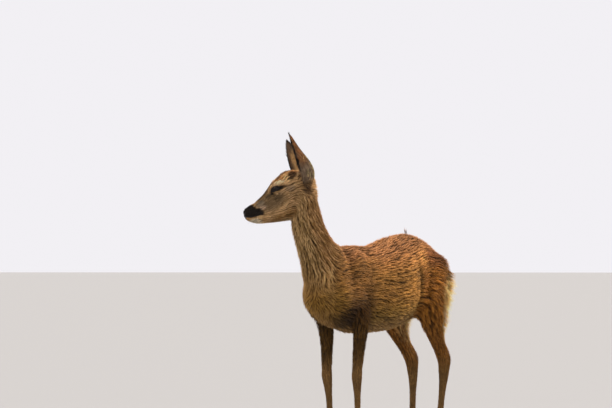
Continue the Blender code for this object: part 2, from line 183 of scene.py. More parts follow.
headStations = [
    level(*row)
    for row in (
        (-0.1945, 0.0175, -0.0005, 0.008),
        (-0.1885, 0.0245, -0.0098, 0.0145),  # nose
        (-0.174, 0.03, -0.0222, 0.0178),  # lips
        (-0.154, 0.0328, -0.0342, 0.02),
        (-0.131, 0.0398, -0.0432, 0.0238),
        (-0.107, 0.0498, -0.0512, 0.029),  # face
        (-0.082, 0.0628, -0.0582, 0.0345),  # eyes
        (-0.06, 0.073, -0.061, 0.0365),
        (-0.035, 0.0798, -0.061, 0.037),  # forehead
        (-0.01, 0.077, -0.0575, 0.037),
        (0.015, 0.06, -0.046, 0.034),  # poll
        (0.035, 0.035, -0.03, 0.022),
    )
]
legRows = {
    "fore": [
        (0.058, -0.196, 0.49, 0.024, 0.04, 0.04),
        (0.063, -0.184, 0.44, 0.027, 0.04, 0.04),  # elbow
        (0.064, -0.178, 0.39, 0.0235, 0.029, 0.029),
        (0.062, -0.181, 0.335, 0.0185, 0.0215, 0.0215),
        (0.06, -0.186, 0.28, 0.0155, 0.0165, 0.0165),
        (0.059, -0.188, 0.248, 0.0165, 0.0165, 0.0185),  # knee
        (0.058, -0.186, 0.222, 0.014, 0.015, 0.0155),
        (0.057, -0.183, 0.18, 0.0105, 0.012, 0.0115),
        (0.056, -0.181, 0.12, 0.01, 0.0115, 0.011),
        (0.055, -0.182, 0.088, 0.0125, 0.015, 0.0135),  # fetlock
        (0.055, -0.189, 0.064, 0.012, 0.0135, 0.0125),
        (0.055, -0.199, 0.042, 0.0135, 0.0135, 0.014),  # pastern
        (0.055, -0.206, 0.024, 0.015, 0.015, 0.016),  # coronet
        (0.055, -0.208, 0.016, 0.012, 0.012, 0.012),
    ],
    "hind": [
        (0.066, 0.205, 0.52, 0.036, 0.075, 0.07),
        (0.074, 0.188, 0.45, 0.036, 0.066, 0.06),  # stifle
        (0.075, 0.208, 0.396, 0.029, 0.047, 0.046),
        (0.072, 0.234, 0.348, 0.0215, 0.034, 0.032),
        (0.07, 0.254, 0.312, 0.0165, 0.031, 0.0245),
        (0.069, 0.264, 0.288, 0.015, 0.0335, 0.0225),  # point of the hock
        (0.068, 0.268, 0.264, 0.0155, 0.0235, 0.0215),
        (0.067, 0.268, 0.236, 0.014, 0.0165, 0.018),
        (0.066, 0.262, 0.195, 0.011, 0.013, 0.013),
        (0.065, 0.254, 0.14, 0.0102, 0.0118, 0.0115),
        (0.064, 0.249, 0.092, 0.013, 0.015, 0.014),  # fetlock
        (0.064, 0.24, 0.066, 0.012, 0.0135, 0.0125),
        (0.064, 0.229, 0.043, 0.0135, 0.0135, 0.014),  # pastern
        (0.064, 0.221, 0.024, 0.015, 0.015, 0.016),  # coronet
        (0.064, 0.219, 0.016, 0.012, 0.012, 0.012),
    ],
}


def legStations(end, side):
    # a leg swings back from its top: y + step (1 - z / height of the joint)
    step, top = plan["step"][end][side], plan["legTop"][end]
    return [(sides[side] * x, y + step * (1 - z / top), z, *sizes, 0.0) for x, y, z, *sizes in legRows[end]]


# Muscle and bone forms: centre, radii, tilt in degrees. Those of a pair are mirrored to the right.
trunkForms = {
    "shoulderBlade": ((0.03, -0.192, 0.545), (0.041, 0.062, 0.088), (-28, 8, 0)),
    "upperArm": ((0.05, -0.205, 0.466), (0.036, 0.068, 0.054), (20, 0, 0)),
    "shoulderPoint": ((0.045, -0.258, 0.49), (0.031, 0.038, 0.05), (0, 0, 0)),
    "nape": ((0.0, -0.236, 0.61), (0.036, 0.056, 0.039), (-12, 0, 0)),
    "hip": ((0.036, 0.16, 0.592), (0.046, 0.082, 0.046), (-10, 0, 0)),
    "thigh": ((0.056, 0.218, 0.52), (0.042, 0.08, 0.104), (-14, 0, 0)),
    "stifle": ((0.07, 0.168, 0.462), (0.035, 0.052, 0.062), (-20, 0, 0)),
    "buttock": ((0.04, 0.262, 0.52), (0.036, 0.038, 0.075), (6, 0, 0)),
}
headPairs = {
    "browAndOrbit": ((0.0235, -0.074, 0.044), (0.018, 0.032, 0.0185), (8, 0, -6)),
    "beforeEye": ((0.0165, -0.108, 0.028), (0.011, 0.034, 0.013), (20, 0, -10)),
    "cheek": ((0.02, -0.03, -0.006), (0.02, 0.042, 0.036), (-12, 0, 6)),
    "cheekbone": ((0.029, -0.045, 0.024), (0.0115, 0.044, 0.0115), (-6, 0, 8)),
    "earRoot": ((0.029, 0.002, 0.048), (0.0145, 0.02, 0.02), (0, 0, 0)),
    "upperLip": ((0.0085, -0.17, 0.004), (0.011, 0.019, 0.013), (-12, 0, 0)),
}
headSingles = {
    "cranium": ((0, -0.03, 0.046), (0.036, 0.048, 0.037), (0, 0, 0)),
    "nosePad": ((0, -0.1845, 0.0125), (0.016, 0.011, 0.0125), (-20, 0, 0)),
    "chin": ((0, -0.16, -0.021), (0.013, 0.018, 0.0115), (-16, 0, 0)),
}
tailForm = ((0, 0.303, 0.582), (0.013, 0.013, 0.03), (26, 0, 0))

bodyPlace = Matrix.Translation(shift)

# ---- surfaces


def sections(stations, steps, place):
    # centres on the spline, tangent along it, across and upward square to it, with the half sizes there
    rows = splineRows(stations, steps)
    centres = placed(rows[:, :3], place)
    tangents = unit(np.gradient(centres, axis=0))
    turn = np.radians(rows[:, 6])
    across = turned(np.stack([np.cos(turn), np.sin(turn), 0 * turn], 1), place)
    across = unit(across - tangents * (across * tangents).sum(1, keepdims=True))
    upward = np.cross(across, tangents)
    return {
        "centres": centres,
        "tangents": tangents,
        "across": across,
        "upward": upward,
        "side": rows[:, 3],
        "up": rows[:, 4],
        "down": rows[:, 5],
    }


def gridFaces(rows, n, m):
    # quads between each row and the next, round the m points of a row; row n is the first row again
    i, j = np.meshgrid(np.arange(rows), np.arange(m), indexing="ij")
    below, above, onward = i * m, (i + 1) % n * m, (j + 1) % m
    return np.stack([below + j, below + onward, above + onward, above + j], -1).reshape(-1, 4)


def closedGrid(points):
    # an (n, m, 3) grid that closes around m, with a fan of triangles over each end
    n, m = points.shape[:2]
    ends = np.stack([points[0].mean(0), points[-1].mean(0)])
    k = np.arange(m)
    first = np.stack([np.full(m, n * m), (k + 1) % m, k], 1).tolist()
    last = np.stack([np.full(m, n * m + 1), (n - 1) * m + k, (n - 1) * m + (k + 1) % m], 1).tolist()
    return np.vstack([points.reshape(-1, 3), ends]), gridFaces(n - 1, n, m).tolist() + first + last


def tube(stations, place=bodyPlace, fullness=1.0, steps=8, around=56):
    # p(s, a) = centre(s) + side(s) c(a) across(s) + height(s, a) s(a) upward(s), where c and s are the cosine
    # and sine to the power 1 / fullness and height is the upper or lower half size
    cut = sections(stations, steps, place)
    a = np.linspace(0, 2 * math.pi, around, endpoint=False)
    c, s = (np.sign(w) * np.abs(w) ** (1 / fullness) for w in (np.cos(a), np.sin(a)))
    height = np.where(s > 0, cut["up"][:, None], cut["down"][:, None]) * s
    wide = (cut["side"][:, None] * c)[:, :, None] * cut["across"][:, None, :]
    tall = height[:, :, None] * cut["upward"][:, None, :]
    return closedGrid(cut["centres"][:, None, :] + wide + tall)


def ball(centre, radii, tilt=(0, 0, 0), place=bodyPlace, rings=20, around=36):
    # p(u, v) = centre + T (rx sin u cos v, ry sin u sin v, rz cos u), T the tilt
    u = np.linspace(0.02, math.pi - 0.02, rings)[:, None]
    v = np.linspace(0, 2 * math.pi, around, endpoint=False)[None, :]
    grid = np.stack([np.sin(u) * np.cos(v), np.sin(u) * np.sin(v), np.cos(u) + 0 * v], -1)
    turn = Euler([math.radians(t) for t in tilt]).to_matrix().to_4x4()
    at = place @ Matrix.Translation(centre) @ turn @ Matrix.Diagonal((*radii, 1))
    points, faces = closedGrid(placed(grid.reshape(-1, 3), at).reshape(grid.shape))
    return points, [face[::-1] for face in faces]


def pairOf(form, place=bodyPlace):
    (x, y, z), radii, (tx, ty, tz) = form
    return [ball((s * x, y, z), radii, (tx, s * ty, s * tz), place) for s in sides.values()]


def newObject(name, data):
    made = bpy.data.objects.new(name, data)
    bpy.context.scene.collection.objects.link(made)
    return made


def meshPiece(name, shapes):
    # one object from several (points, faces) shapes
    points, faces, start = [], [], 0
    for shapePoints, shapeFaces in shapes:
        points.append(shapePoints)
        faces += [[index + start for index in face] for face in shapeFaces]
        start += len(shapePoints)
    mesh = bpy.data.meshes.new(name)
    mesh.from_pydata(np.vstack(points).tolist(), [], faces)
    return newObject(name, mesh)


def settle(piece):
    # applies the modifiers of a piece
    bpy.context.view_layer.update()
    mesh = bpy.data.meshes.new_from_object(piece.evaluated_get(bpy.context.evaluated_depsgraph_get()))
    piece.modifiers.clear()
    old, piece.data = piece.data, mesh
    bpy.data.meshes.remove(old)
    return piece


def fuse(piece, voxel, rounds):
    # one closed skin over all the shapes, smoothed so that they flow together
    remesh = piece.modifiers.new("fuse", "REMESH")
    remesh.mode = "VOXEL"
    remesh.voxel_size = voxel
    smooth = piece.modifiers.new("flow", "SMOOTH")
    smooth.factor = 0.5
    smooth.iterations = rounds
    return settle(piece)


def readMesh(piece):
    # its points and its triangles' corners
    mesh = piece.data
    mesh.calc_loop_triangles()
    flat = np.empty(len(mesh.vertices) * 3, np.float32)
    mesh.vertices.foreach_get("co", flat)
    corners = np.empty(len(mesh.loop_triangles) * 3, np.int32)
    mesh.loop_triangles.foreach_get("vertices", corners)
    return flat.reshape(-1, 3).astype(float), corners.reshape(-1, 3)


def writePoints(mesh, points):
    mesh.vertices.foreach_set("co", points.astype(np.float32).ravel())
    mesh.update()


def vertexNormals(points, triangles):
    # sum of the area normals of the triangles round each point, made unit
    a, b, c = (points[triangles[:, i]] for i in range(3))
    area = np.cross(b - a, c - a)
    total = np.stack(
        [np.bincount(triangles.ravel(), np.repeat(area[:, k], 3), len(points)) for k in range(3)], 1
    )
    return unit(total)


def relaxed(values, triangles, rounds):
    # each round gives a point the mean of itself and its neighbours' mean
    edges = np.vstack([triangles[:, [0, 1]], triangles[:, [1, 2]], triangles[:, [2, 0]]])
    count = np.maximum(np.bincount(edges.ravel(), minlength=len(values)), 1)
    flat = values.reshape(len(values), -1)
    for _ in range(rounds):
        near = [
            np.bincount(edges[:, 0], flat[edges[:, 1], k], len(flat))
            + np.bincount(edges[:, 1], flat[edges[:, 0], k], len(flat))
            for k in range(flat.shape[1])
        ]
        flat = 0.5 * flat + 0.5 * np.stack(near, 1) / count[:, None]
    return flat.reshape(values.shape)


# ---- where a point lies on the body: which part, how far along it, and which way its hair runs

paths = {
    "head": sections(headStations, 4, headPlace),
    "neck": sections(neckStations[1:6] + chestStations, 5, bodyPlace),
    "trunk": sections(trunkStations, 4, bodyPlace),
}
for sideName in sides:
    for end in legRows:
        paths[end + "_" + sideName] = sections(legStations(end, sideName)[1:], 3, bodyPlace)
pathNames = list(paths)


def bodyMap(points):
    # A part's score at a point is its distance from the part's line in units of the local half sizes, so
    # 1 on the part's own surface; shares fall as exp(-9 (score - lowest score)). The neck's score also grows
    # behind a line that runs forward down the sides, where the shoulder's hair begins.
    scores, alongs, offsets, tangents, angles = [], [], [], [], []
    for cut in paths.values():
        best = np.full(len(points), 1e9)
        nearest = np.zeros(len(points), int)
        for k in range(len(cut["centres"])):
            d = points - cut["centres"][k]
            x, z, y = (d @ cut[axis][k] for axis in ("across", "upward", "tangents"))
            tall = np.where(z > 0, cut["up"][k], cut["down"][k])
            reach = 0.5 * (cut["side"][k] + cut["up"][k])
            score = np.sqrt((x / cut["side"][k]) ** 2 + (z / tall) ** 2 + (y / reach) ** 2)
            closer = score < best
            best[closer] = score[closer]
            nearest[closer] = k
        run = np.concatenate([[0], np.cumsum(np.linalg.norm(np.diff(cut["centres"], axis=0), axis=1))])
        d = points - cut["centres"][nearest]
        t = cut["tangents"][nearest]
        on = (d * t).sum(1)
        if cut is paths["neck"]:
            flat = points - shift
            best = best + 20 * np.maximum(flat[:, 1] + 0.245 + 1.35 * np.abs(flat[:, 0]), 0)
        scores.append(best)
        alongs.append(run[nearest] + on)
        offsets.append(d - on[:, None] * t)
        tangents.append(t)
        angles.append(np.arctan2(-(d * cut["across"][nearest]).sum(1), (d * cut["upward"][nearest]).sum(1)))
    scores = np.stack(scores, 1)
    shares = np.exp(-9 * (scores - scores.min(1, keepdims=True)))
    shares /= shares.sum(1, keepdims=True)
    chart = scores.argmin(1)
    pick = np.arange(len(points))
    return {
        "chart": chart,
        "shares": shares,
        "along": np.stack(alongs, 1)[pick, chart],
        "offset": np.stack(offsets, 1)[pick, chart],
        "angle": np.stack(angles, 1)[pick, chart],  # 0 on top, half a turn below
        "flow": (np.stack(tangents, 1) * shares[:, :, None]).sum(1),
    }


# ---- ears: a cupped leaf, its front edges on one line while the back bulges

earForm = {
    # share of the length, radius of the cup, half the angle that it wraps in degrees
    "stations": [
        (-0.2, 0.01, 174),
        (-0.08, 0.017, 168),
        (0.06, 0.0212, 152),
        (0.26, 0.0242, 122),
        (0.44, 0.0254, 96),
        (0.62, 0.0228, 78),
        (0.78, 0.0176, 68),
        (0.91, 0.0108, 62),
        (1.0, 0.0026, 50),
    ],
    "wall": 0.0026,
    "fold": 0.0007,  # depth of the lengthwise folds inside
}


def earPlace(side):
    s = sides[side]
    x, y, z = plan["earRoot"]
    return (
        headPlace
        @ Matrix.Translation((s * x, y, z))
        @ spin(s * plan["earSpread"][side], "Y")
        @ spin(-plan["earLeanBack"][side], "X")
        @ spin(-s * plan["earTurnIn"][side], "Z")
    )


def earSurface(side):
    # m(s, b) = (r sin b, r (cos b - cos w), s L), moved along its normal by ± wall / 2; the loop runs out
    # along one face and back along the other: b = w cos a, and the wall's share is sign(sin a) |sin a| ^ 0.4
    rows = splineRows(earForm["stations"], 5)
    share, radius, wrap = rows[:, 0:1], rows[:, 1:2], np.radians(rows[:, 2:3])
    a = np.linspace(0, 2 * math.pi, 64, endpoint=False)[None, :]
    bend = wrap * np.cos(a)
    half = 0.5 * earForm["wall"] * np.sign(np.sin(a)) * np.abs(np.sin(a)) ** 0.4
    fold = earForm["fold"] * np.cos(bend * 7) * np.clip(np.sin(a), 0, 1) * smoothStep(1.0, 0.3, share)
    reach = radius - half - fold
    x = reach * np.sin(bend)
    y = reach * np.cos(bend) - radius * np.cos(wrap)
    z = share * plan["earLength"] + 0 * bend
    grid = np.stack([x, y, z], -1)
    return closedGrid(placed(grid.reshape(-1, 3), earPlace(side)).reshape(grid.shape))


# ---- the skin: one closed surface, inside the coat's outline by the coat's depth

skinForm = {
    "torsoFuse": (0.0045, 60),  # voxel, and rounds of smoothing
    "headFuse": (0.0018, 9),
    "fuse": (0.0016, 14),
    "triangles": 104000,
    "coatDepth": {"head": 0.0022, "neck": 0.0065, "trunk": 0.007, "leg": 0.0024, "thigh": 0.006},
    "fringeDepth": 0.0125,
    # the line of each crease as (y, z); then its depth, half width, how blunt its ends are, and from which x
    # it begins and where it is full
    "flankLine": [(0.085, 0.6), (0.102, 0.545), (0.104, 0.49), (0.082, 0.432)],
    "flankGroove": (0.008, 0.012, 0.05, 0.05, 0.075),
    "shoulderLine": [(-0.1, 0.63), (-0.121, 0.588), (-0.14, 0.545), (-0.155, 0.495)],
    "shoulderGroove": (0.005, 0.014, 0.0, 0.03, 0.06),
}

trunkShapes = [tube(trunkStations, fullness=1.06), tube(neckStations)]
for form in trunkForms.values():
    trunkShapes += pairOf(form)
torso = fuse(meshPiece("torso", trunkShapes), *skinForm["torsoFuse"])

headShapes = [tube(headStations, headPlace, fullness=1.12)]
headShapes += [ball(*form, headPlace) for form in headSingles.values()]
for form in headPairs.values():
    headShapes += pairOf(form, headPlace)
skull = fuse(meshPiece("skull", headShapes), *skinForm["headFuse"])

limbShapes = [ball(*tailForm)]
for sideName in sides:
    limbShapes += [tube(legStations(end, sideName)) for end in legRows]
parts = [torso, skull, meshPiece("limbs", limbShapes)]
with bpy.context.temp_override(active_object=torso, selected_editable_objects=parts):
    bpy.ops.object.join()
skin = fuse(torso, *skinForm["fuse"])
skin.name = "skin"
print("skin fused:", len(skin.data.polygons), "faces")


def headPoints(points):
    # the same points in the head's own frame
    return placed(points, headBack)


def planPoints(points):
    return points - shift


def nearCurve(points, curve):
    # distance of (y, z) from a line through (y, z) points, and the share of the line passed
    curve = splineRows(curve, 8)
    gaps = np.linalg.norm(points[:, None, 1:3] - curve[None, :, :], axis=2)
    return gaps.min(1), gaps.argmin(1) / (len(curve) - 1)


def insetDepth(points, normals, where):
    # the coat's depth: each part's value by its shares, thinner towards the nose and down the legs, and the
    # fringe's own depth at the rear of rump and thighs
    local, (_, y, z) = headPoints(points), planPoints(points).T
    depth = {name: value + 0 * y for name, value in skinForm["coatDepth"].items()}
    depth["head"] = depth["head"] * smoothStep(-0.205, -0.12, local[:, 1])
    depth["head"] += 0.002 * smoothStep(-0.05, 0.02, local[:, 1])
    depth["trunk"] *= 1 - 1.1 * (smoothStep(-0.22, -0.29, y) + smoothStep(0.24, 0.29, y))
    high = smoothStep(0.24, 0.46, z)
    depth["leg"] = depth["leg"] * (1 - high) + depth["thigh"] * high
    total = sum(where["shares"][:, k] * depth.get(name, depth["leg"]) for k, name in enumerate(pathNames))
    behind = smoothStep(0.05, 0.5, normals[:, 1]) * smoothStep(0.19, 0.23, y)
    behind *= smoothStep(0.31, 0.36, z) * smoothStep(0.595, 0.565, z)
    return total + (skinForm["fringeDepth"] - total) * behind


def carve(points, normals):
    # creases in the flesh: depth exp(-(d / w)²) sin(pi t) along a named line, t the share of the line passed
    flat = planPoints(points)
    push = np.zeros(len(points))
    for name in ("flank", "shoulder"):
        deep, half, blunt, begins, full = skinForm[name + "Groove"]
        away, passed = nearCurve(flat, skinForm[name + "Line"])
        groove = deep * np.exp(-((away / half) ** 2)) * np.sin(math.pi * np.clip(passed, blunt, 1 - blunt))
        push += groove * smoothStep(begins, full, np.abs(flat[:, 0]))
    return points - normals * push[:, None]


points, triangles = readMesh(skin)
where = bodyMap(points)
normals = relaxed(vertexNormals(points, triangles), triangles, 4)
depth = relaxed(insetDepth(points, normals, where), triangles, 10)
points = carve(points - normals * depth[:, None], normals)
writePoints(skin.data, points)

# Only the head keeps its full fineness when the skin is thinned.
coarse = skin.vertex_groups.new(name="coarse")
headShare = where["shares"][:, pathNames.index("head")] * smoothStep(0.075, 0.045, headPoints(points)[:, 1])
coarse.add(np.flatnonzero(headShare < 0.5).tolist(), 1.0, "REPLACE")
thin = skin.modifiers.new("thin", "DECIMATE")
thin.ratio = skinForm["triangles"] / len(triangles)
thin.vertex_group = "coarse"
thin.vertex_group_factor = 1.0
settle(skin)
skin.vertex_groups.clear()
print("skin thinned:", len(readMesh(skin)[1]), "triangles")

# ---- ears joined to the skin


def joinSolid(whole, other):
    # one closed surface over both
    union = whole.modifiers.new("union", "BOOLEAN")
    union.operation = "UNION"
    union.solver = "MANIFOLD"
    union.object = other
    settle(whole)
    bpy.data.objects.remove(other)


for sideName in sides:
    joinSolid(skin, meshPiece("ear", [earSurface(sideName)]))
print("skin with ears:", len(readMesh(skin)[1]), "triangles")

# ---- eyes: where they sit, which way they look, and the almond that the lids leave open

eyeForm = {
    "radius": 0.0143,
    "look": (0.94, -0.31, 0.05),  # outward, forward and up in the head's frame, for the left eye
    "halfWide": 54.0,  # degrees on the ball
    "upper": 27.0,
    "lower": 19.0,
    "lid": 0.0015,  # thickness of the lid over the ball
    "pupil": (0.0052, 0.0026),  # half width and half height
    "iris": 0.0098,
    "around": (0.032, 0.024),  # from the centre: where the skin begins to make room, and where it fully does
    "hollow": 0.004,  # how much closer the skin may lie away from the lids
    "soft": 0.0024,  # width of the blend of skin and lid
    "sunk": 0.0022,  # how far the skin dips below the ball's surface
    "lidDegrees": [0.5, -0.4, 0, 1.8, 4.5, 7.5, 10, 10],  # outward from the lid's edge
    "lidHeights": [-0.4, 0.2, 0.6, 1.1, 1.5, 1.6, 1.1, -0.5],  # over the ball at each, in millimetres
}


def eyeFrame(side):
    # centre, and unit vectors out of the ball, back along the slit, and up
    s = sides[side]
    x, y, z = plan["eye"]
    out = unit(np.array([s * eyeForm["look"][0], eyeForm["look"][1], eyeForm["look"][2]]))
    back = np.array([0.0, 1.0, 0.06])
    back = unit(back - out * (out @ back))
    up = np.cross(back, out) * -s
    centre = placed(np.array([[s * x, y, z]]), headPlace)[0]
    out, back, up = turned(np.stack([out, back, up]), headPlace)
    return centre, out, back, up


def almondEdge(turnAngle):
    # the lid line at an angle along the slit: ± height (1 - (t / half width)²), fuller above
    t = np.clip(np.abs(turnAngle) / eyeForm["halfWide"], 0, 1)
    return eyeForm["upper"] * (1 - t**2) ** 0.75, -eyeForm["lower"] * (1 - t**2) ** 0.9


def eyeAngles(points, side):
    # distance from the ball's centre, and angles back along the slit and up, in degrees
    centre, out, back, up = eyeFrame(side)
    d = points - centre
    r = np.linalg.norm(d, axis=1)
    turnAngle = np.degrees(np.arctan2(d @ back, d @ out))
    rise = np.degrees(np.arcsin(np.clip((d @ up) / r, -1, 1)))
    return centre, d, r, turnAngle, rise


def lidGap(turnAngle, rise):
    # degrees outside the almond, negative inside
    upper, lower = almondEdge(turnAngle)
    beyond = np.abs(turnAngle) - eyeForm["halfWide"]
    vertical = np.maximum(rise - upper, lower - rise)
    return np.where(beyond > 0, np.hypot(beyond, np.maximum(vertical, 0)), np.maximum(vertical, beyond))


def openEye(points, side):
    # The skin is kept outside the ball by a soft maximum, m(a, b) = (a + b + sqrt((a - b)² + w²)) / 2, of
    # its own distance from the centre and the lid's. It is drawn in close over the lids, and dips behind the
    # ball inside the almond.
    centre, d, r, turnAngle, rise = eyeAngles(points, side)
    gap = lidGap(turnAngle, rise)
    begins, full = eyeForm["around"]
    near = (r < begins) & (d @ eyeFrame(side)[1] > -0.004)
    ballRadius, lid, soft = eyeForm["radius"], eyeForm["lid"], eyeForm["soft"]
    least = ballRadius + lid * smoothStep(60, 10, gap) - eyeForm["hollow"] * smoothStep(45, 90, gap)
    wrapped = 0.5 * (r + least + np.sqrt((r - least) ** 2 + soft**2))
    close = smoothStep(20, 6, gap)
    wrapped = wrapped + close * (np.minimum(wrapped, ballRadius + 1.5 * lid) - wrapped)
    sunk = np.minimum(r, ballRadius - eyeForm["sunk"])
    dip = smoothStep(5.0, 1.0, gap)
    target = wrapped * (1 - dip) + sunk * dip
    target = np.where(near, r + (target - r) * smoothStep(begins, full, r), r)
    return centre + d * (target / r)[:, None]


# ---- nose and mouth, as pushes along the head's own axes

muzzleForm = {
    "nostril": (0.0088, -0.1925, 0.015),
    "nostrilReach": (0.0034, 0.005, 0.0024),
    "nostrilDepth": 0.0055,
    "mouthY": [-0.202, -0.193, -0.18, -0.165, -0.148],  # the line between the lips, front to rear
    "mouthZ": [0.003, 0.0005, -0.004, -0.0078, -0.0103],
    "mouthDepth": 0.0018,
    "mouthHalf": 0.0013,
    "nostrilRim": (0.0007, 0.0005),  # outward and forward
    "lip": (0.001, 0.0045, 0.0032),  # height, its middle above the mouth's line, half width
    "cleft": (0.001, 0.0012),  # depth and half width
}


def mouthHeight(y):
    return np.interp(y, muzzleForm["mouthY"], muzzleForm["mouthZ"])


def shapeMuzzle(local):
    # local: points in the head's frame. Each push is depth exp(-distance²)
    across, along, up = local.T
    out, s = np.abs(across), np.sign(across)
    x, y, z = muzzleForm["nostril"]
    rx, ry, rz = muzzleForm["nostrilReach"]
    rise = (up - z - 0.35 * (along - y)) / rz  # the slit rises towards its rear
    run = (along - y) / ry
    pit = muzzleForm["nostrilDepth"] * np.exp(-((((out - x) / rx) ** 2 + run**2 + rise**2) ** 1.5))
    rim = np.exp(-((rise - 1.9) ** 2 + run**2)) * (out > 0.3 * x)
    rimOut, rimForward = muzzleForm["nostrilRim"]
    pushed = local.copy()
    pushed[:, 0] += s * (-0.45 * pit + rimOut * rim)
    pushed[:, 1] += 0.85 * pit - rimForward * rim
    above = up - mouthHeight(along)
    rear = muzzleForm["mouthY"][-1]
    fade = smoothStep(rear + 0.002, rear - 0.008, along)
    groove = muzzleForm["mouthDepth"] * np.exp(-((above / muzzleForm["mouthHalf"]) ** 2)) * fade
    lipHeight, lipAbove, lipHalf = muzzleForm["lip"]
    lip = lipHeight * np.exp(-(((above - lipAbove) / lipHalf) ** 2)) * fade
    outward = unit(np.stack([across, np.minimum(along + 0.178, 0), 0 * out], 1) + 1e-9)
    pushed += outward * (lip - groove)[:, None]
    cleftDepth, cleftHalf = muzzleForm["cleft"]
    front = smoothStep(-0.186, -0.191, along) * np.exp(-((out / cleftHalf) ** 2))
    pushed[:, 1] += cleftDepth * front
    return pushed


def refined(points, triangles, marked):
    # splits each edge between two marked points at its middle, so a triangle becomes four, or two
    ends = np.stack([triangles, np.roll(triangles, -1, 1)], -1).reshape(-1, 2)
    key = np.sort(ends, 1)
    split = marked[key].all(1)
    found, slot = np.unique(key[split], axis=0, return_inverse=True)
    middle = np.full(len(key), -1)
    middle[split] = len(points) + slot.ravel()
    middle = middle.reshape(-1, 3)
    count = (middle >= 0).sum(1)
    (a, b, c), (ab, bc, ca) = triangles[count == 3].T, middle[count == 3].T
    four = [(a, ab, ca), (ab, b, bc), (ca, bc, c), (ab, bc, ca)]
    turns = (middle[count == 1].argmax(1)[:, None] + np.arange(3)) % 3
    a, b, c = np.take_along_axis(triangles[count == 1], turns, 1).T
    m = middle[count == 1].max(1)
    kept = [triangles[count == 0]] + [np.stack(corner, 1) for corner in four + [(a, m, c), (m, b, c)]]
    return np.vstack([points, points[found].mean(1)]), np.vstack(kept)


def rebuilt(piece, points, triangles):
    # the piece gets a new mesh of these triangles, shaded smooth
    mesh = bpy.data.meshes.new(piece.name)
    mesh.vertices.add(len(points))
    mesh.vertices.foreach_set("co", points.astype(np.float32).ravel())
    mesh.loops.add(triangles.size)
    mesh.loops.foreach_set("vertex_index", triangles.astype(np.int32).ravel())
    mesh.polygons.add(len(triangles))
    mesh.polygons.foreach_set("loop_start", np.arange(0, triangles.size, 3, dtype=np.int32))
    mesh.polygons.foreach_set("use_smooth", np.ones(len(triangles), bool))
    mesh.update()
    old, piece.data = piece.data, mesh
    if old is not None:
        bpy.data.meshes.remove(old)


def isMuzzle(points, rear):
    local = headPoints(points)
    return (local[:, 1] < rear) & (np.abs(local[:, [0, 2]]) < (0.05, 0.06)).all(1)


points, triangles = readMesh(skin)
for reach, nose in ((0.022, -0.148), (0.0, -0.18)):  # round the eyes, and from which y to the nose
    marked = isMuzzle(points, nose)
    for sideName in sides:
        marked |= np.linalg.norm(points - eyeFrame(sideName)[0], axis=1) < reach
    points, triangles = refined(points, triangles, marked)
    marked = isMuzzle(points, nose + 0.002)
    points = np.where(marked[:, None], relaxed(points, triangles, 2), points)
local = headPoints(points)
front = (local[:, 1] < -0.14) & (local[:, 2] < 0.06) & (np.abs(local[:, 0]) < 0.04)
points[front] = placed(shapeMuzzle(local[front]), headPlace)
for sideName in sides:
    points = openEye(points, sideName)
rebuilt(skin, points, triangles)
print("eyes opened, muzzle shaped:", len(triangles), "triangles")

# ---- colours of the coat, named once and used by skin and tufts alike

# Laid one over another in this order: colour, strength, the part it keeps to, then its borders, each as what
# is measured, where the tone begins and where it is full.
coatTones = {
    "flank": ("#8c6227", 1.0, "all"),
    "flankHigh": ("#bc8240", 1.0, "all", ("z", 0.54, 0.62)),
    "flankLow": ("#826322", 1.0, "all", ("z", 0.5, 0.41)),
    "shoulder": ("#775121", 1.0, "all", ("y", -0.1, -0.16), ("z", 0.47, 0.53)),
    "back": ("#94643a", 1.0, "all", ("faceZ", 0.15, 0.75)),
    "croup": ("#63320d", 0.8, "croup"),
    "belly": ("#8c6a3a", 1.0, "aboveLegs", ("faceZ", -0.25, -0.75)),
    # lower shoulder: darker brown, deepened by painted shade under the shoulder
    "lowShoulderAndShade": ("#412707", 1.0, "foreArea", ("z", 0.525, 0.455), ("out", 0.02, 0.05)),
    "shoulderLine": ("#b5824a", 0.45, "shoulderLine", ("out", 0.03, 0.06)),
    # thigh: its own darker brown, partly painted shade where it lies back behind the flank's fold
    "thigh": ("#805012", 1.0, "haunch"),
    # upper foreleg: its own darker brown, deepened by painted shade at the front of the leg
    "darkForelegAndShade": ("#523811", 1.0, "foreLegs", ("z", 0.47, 0.37)),
    "shank": ("#7a5a30", 1.0, "legs", ("z", 0.34, 0.24)),
    "neckSide": ("#a17641", 1.0, "neck"),
    # painted light on the lower neck, lifting the shade there
    "lowNeckPaintedLight": ("#b58448", 1.0, "neck", ("z", 0.66, 0.56)),
    # nape, orange where it faces back: its own tan and painted rim light from behind
    "napeTanAndRimLight": ("#b97738", 1.0, "neck", ("faceY", 0.1, 0.62), ("z", 0.6, 0.68)),
    "throat": ("#9e814d", 0.6, "neck", ("faceY", -0.4, -0.8)),
    "breast": ("#8e6828", 1.0, "front", ("z", 0.58, 0.43), ("y", -0.24, -0.3)),
    # painted shade on the low chest between the forelegs and at the tops of the legs
    "armpitShade": ("#1e1306", 0.6, "armpitShade"),
    "groin": ("#c2a473", 0.9, "groin", ("y", 0.07, 0.15), ("out", 0.065, 0.035), ("faceZ", 0.3, -0.2)),
    # pale rump patch, brightened at the rear fringe by painted backlight glow
    "paleRumpAndBacklight": ("#efc680", 1.0, "rear", ("faceY", 0.0, 0.25), ("z", 0.33, 0.41), ("arch", 0.6, 0.555)),
    "cheek": ("#a78152", 1.0, "head"),
}
earTones = {
    "back": "#905c30",
    "low": "#8c745c",
    "spine": "#5b4530",
    "rim": "#7b6048",
    "inner": "#ffcb88",
}
darkTone = "#1a120b"  # nose, lips, the ears' edges and tips

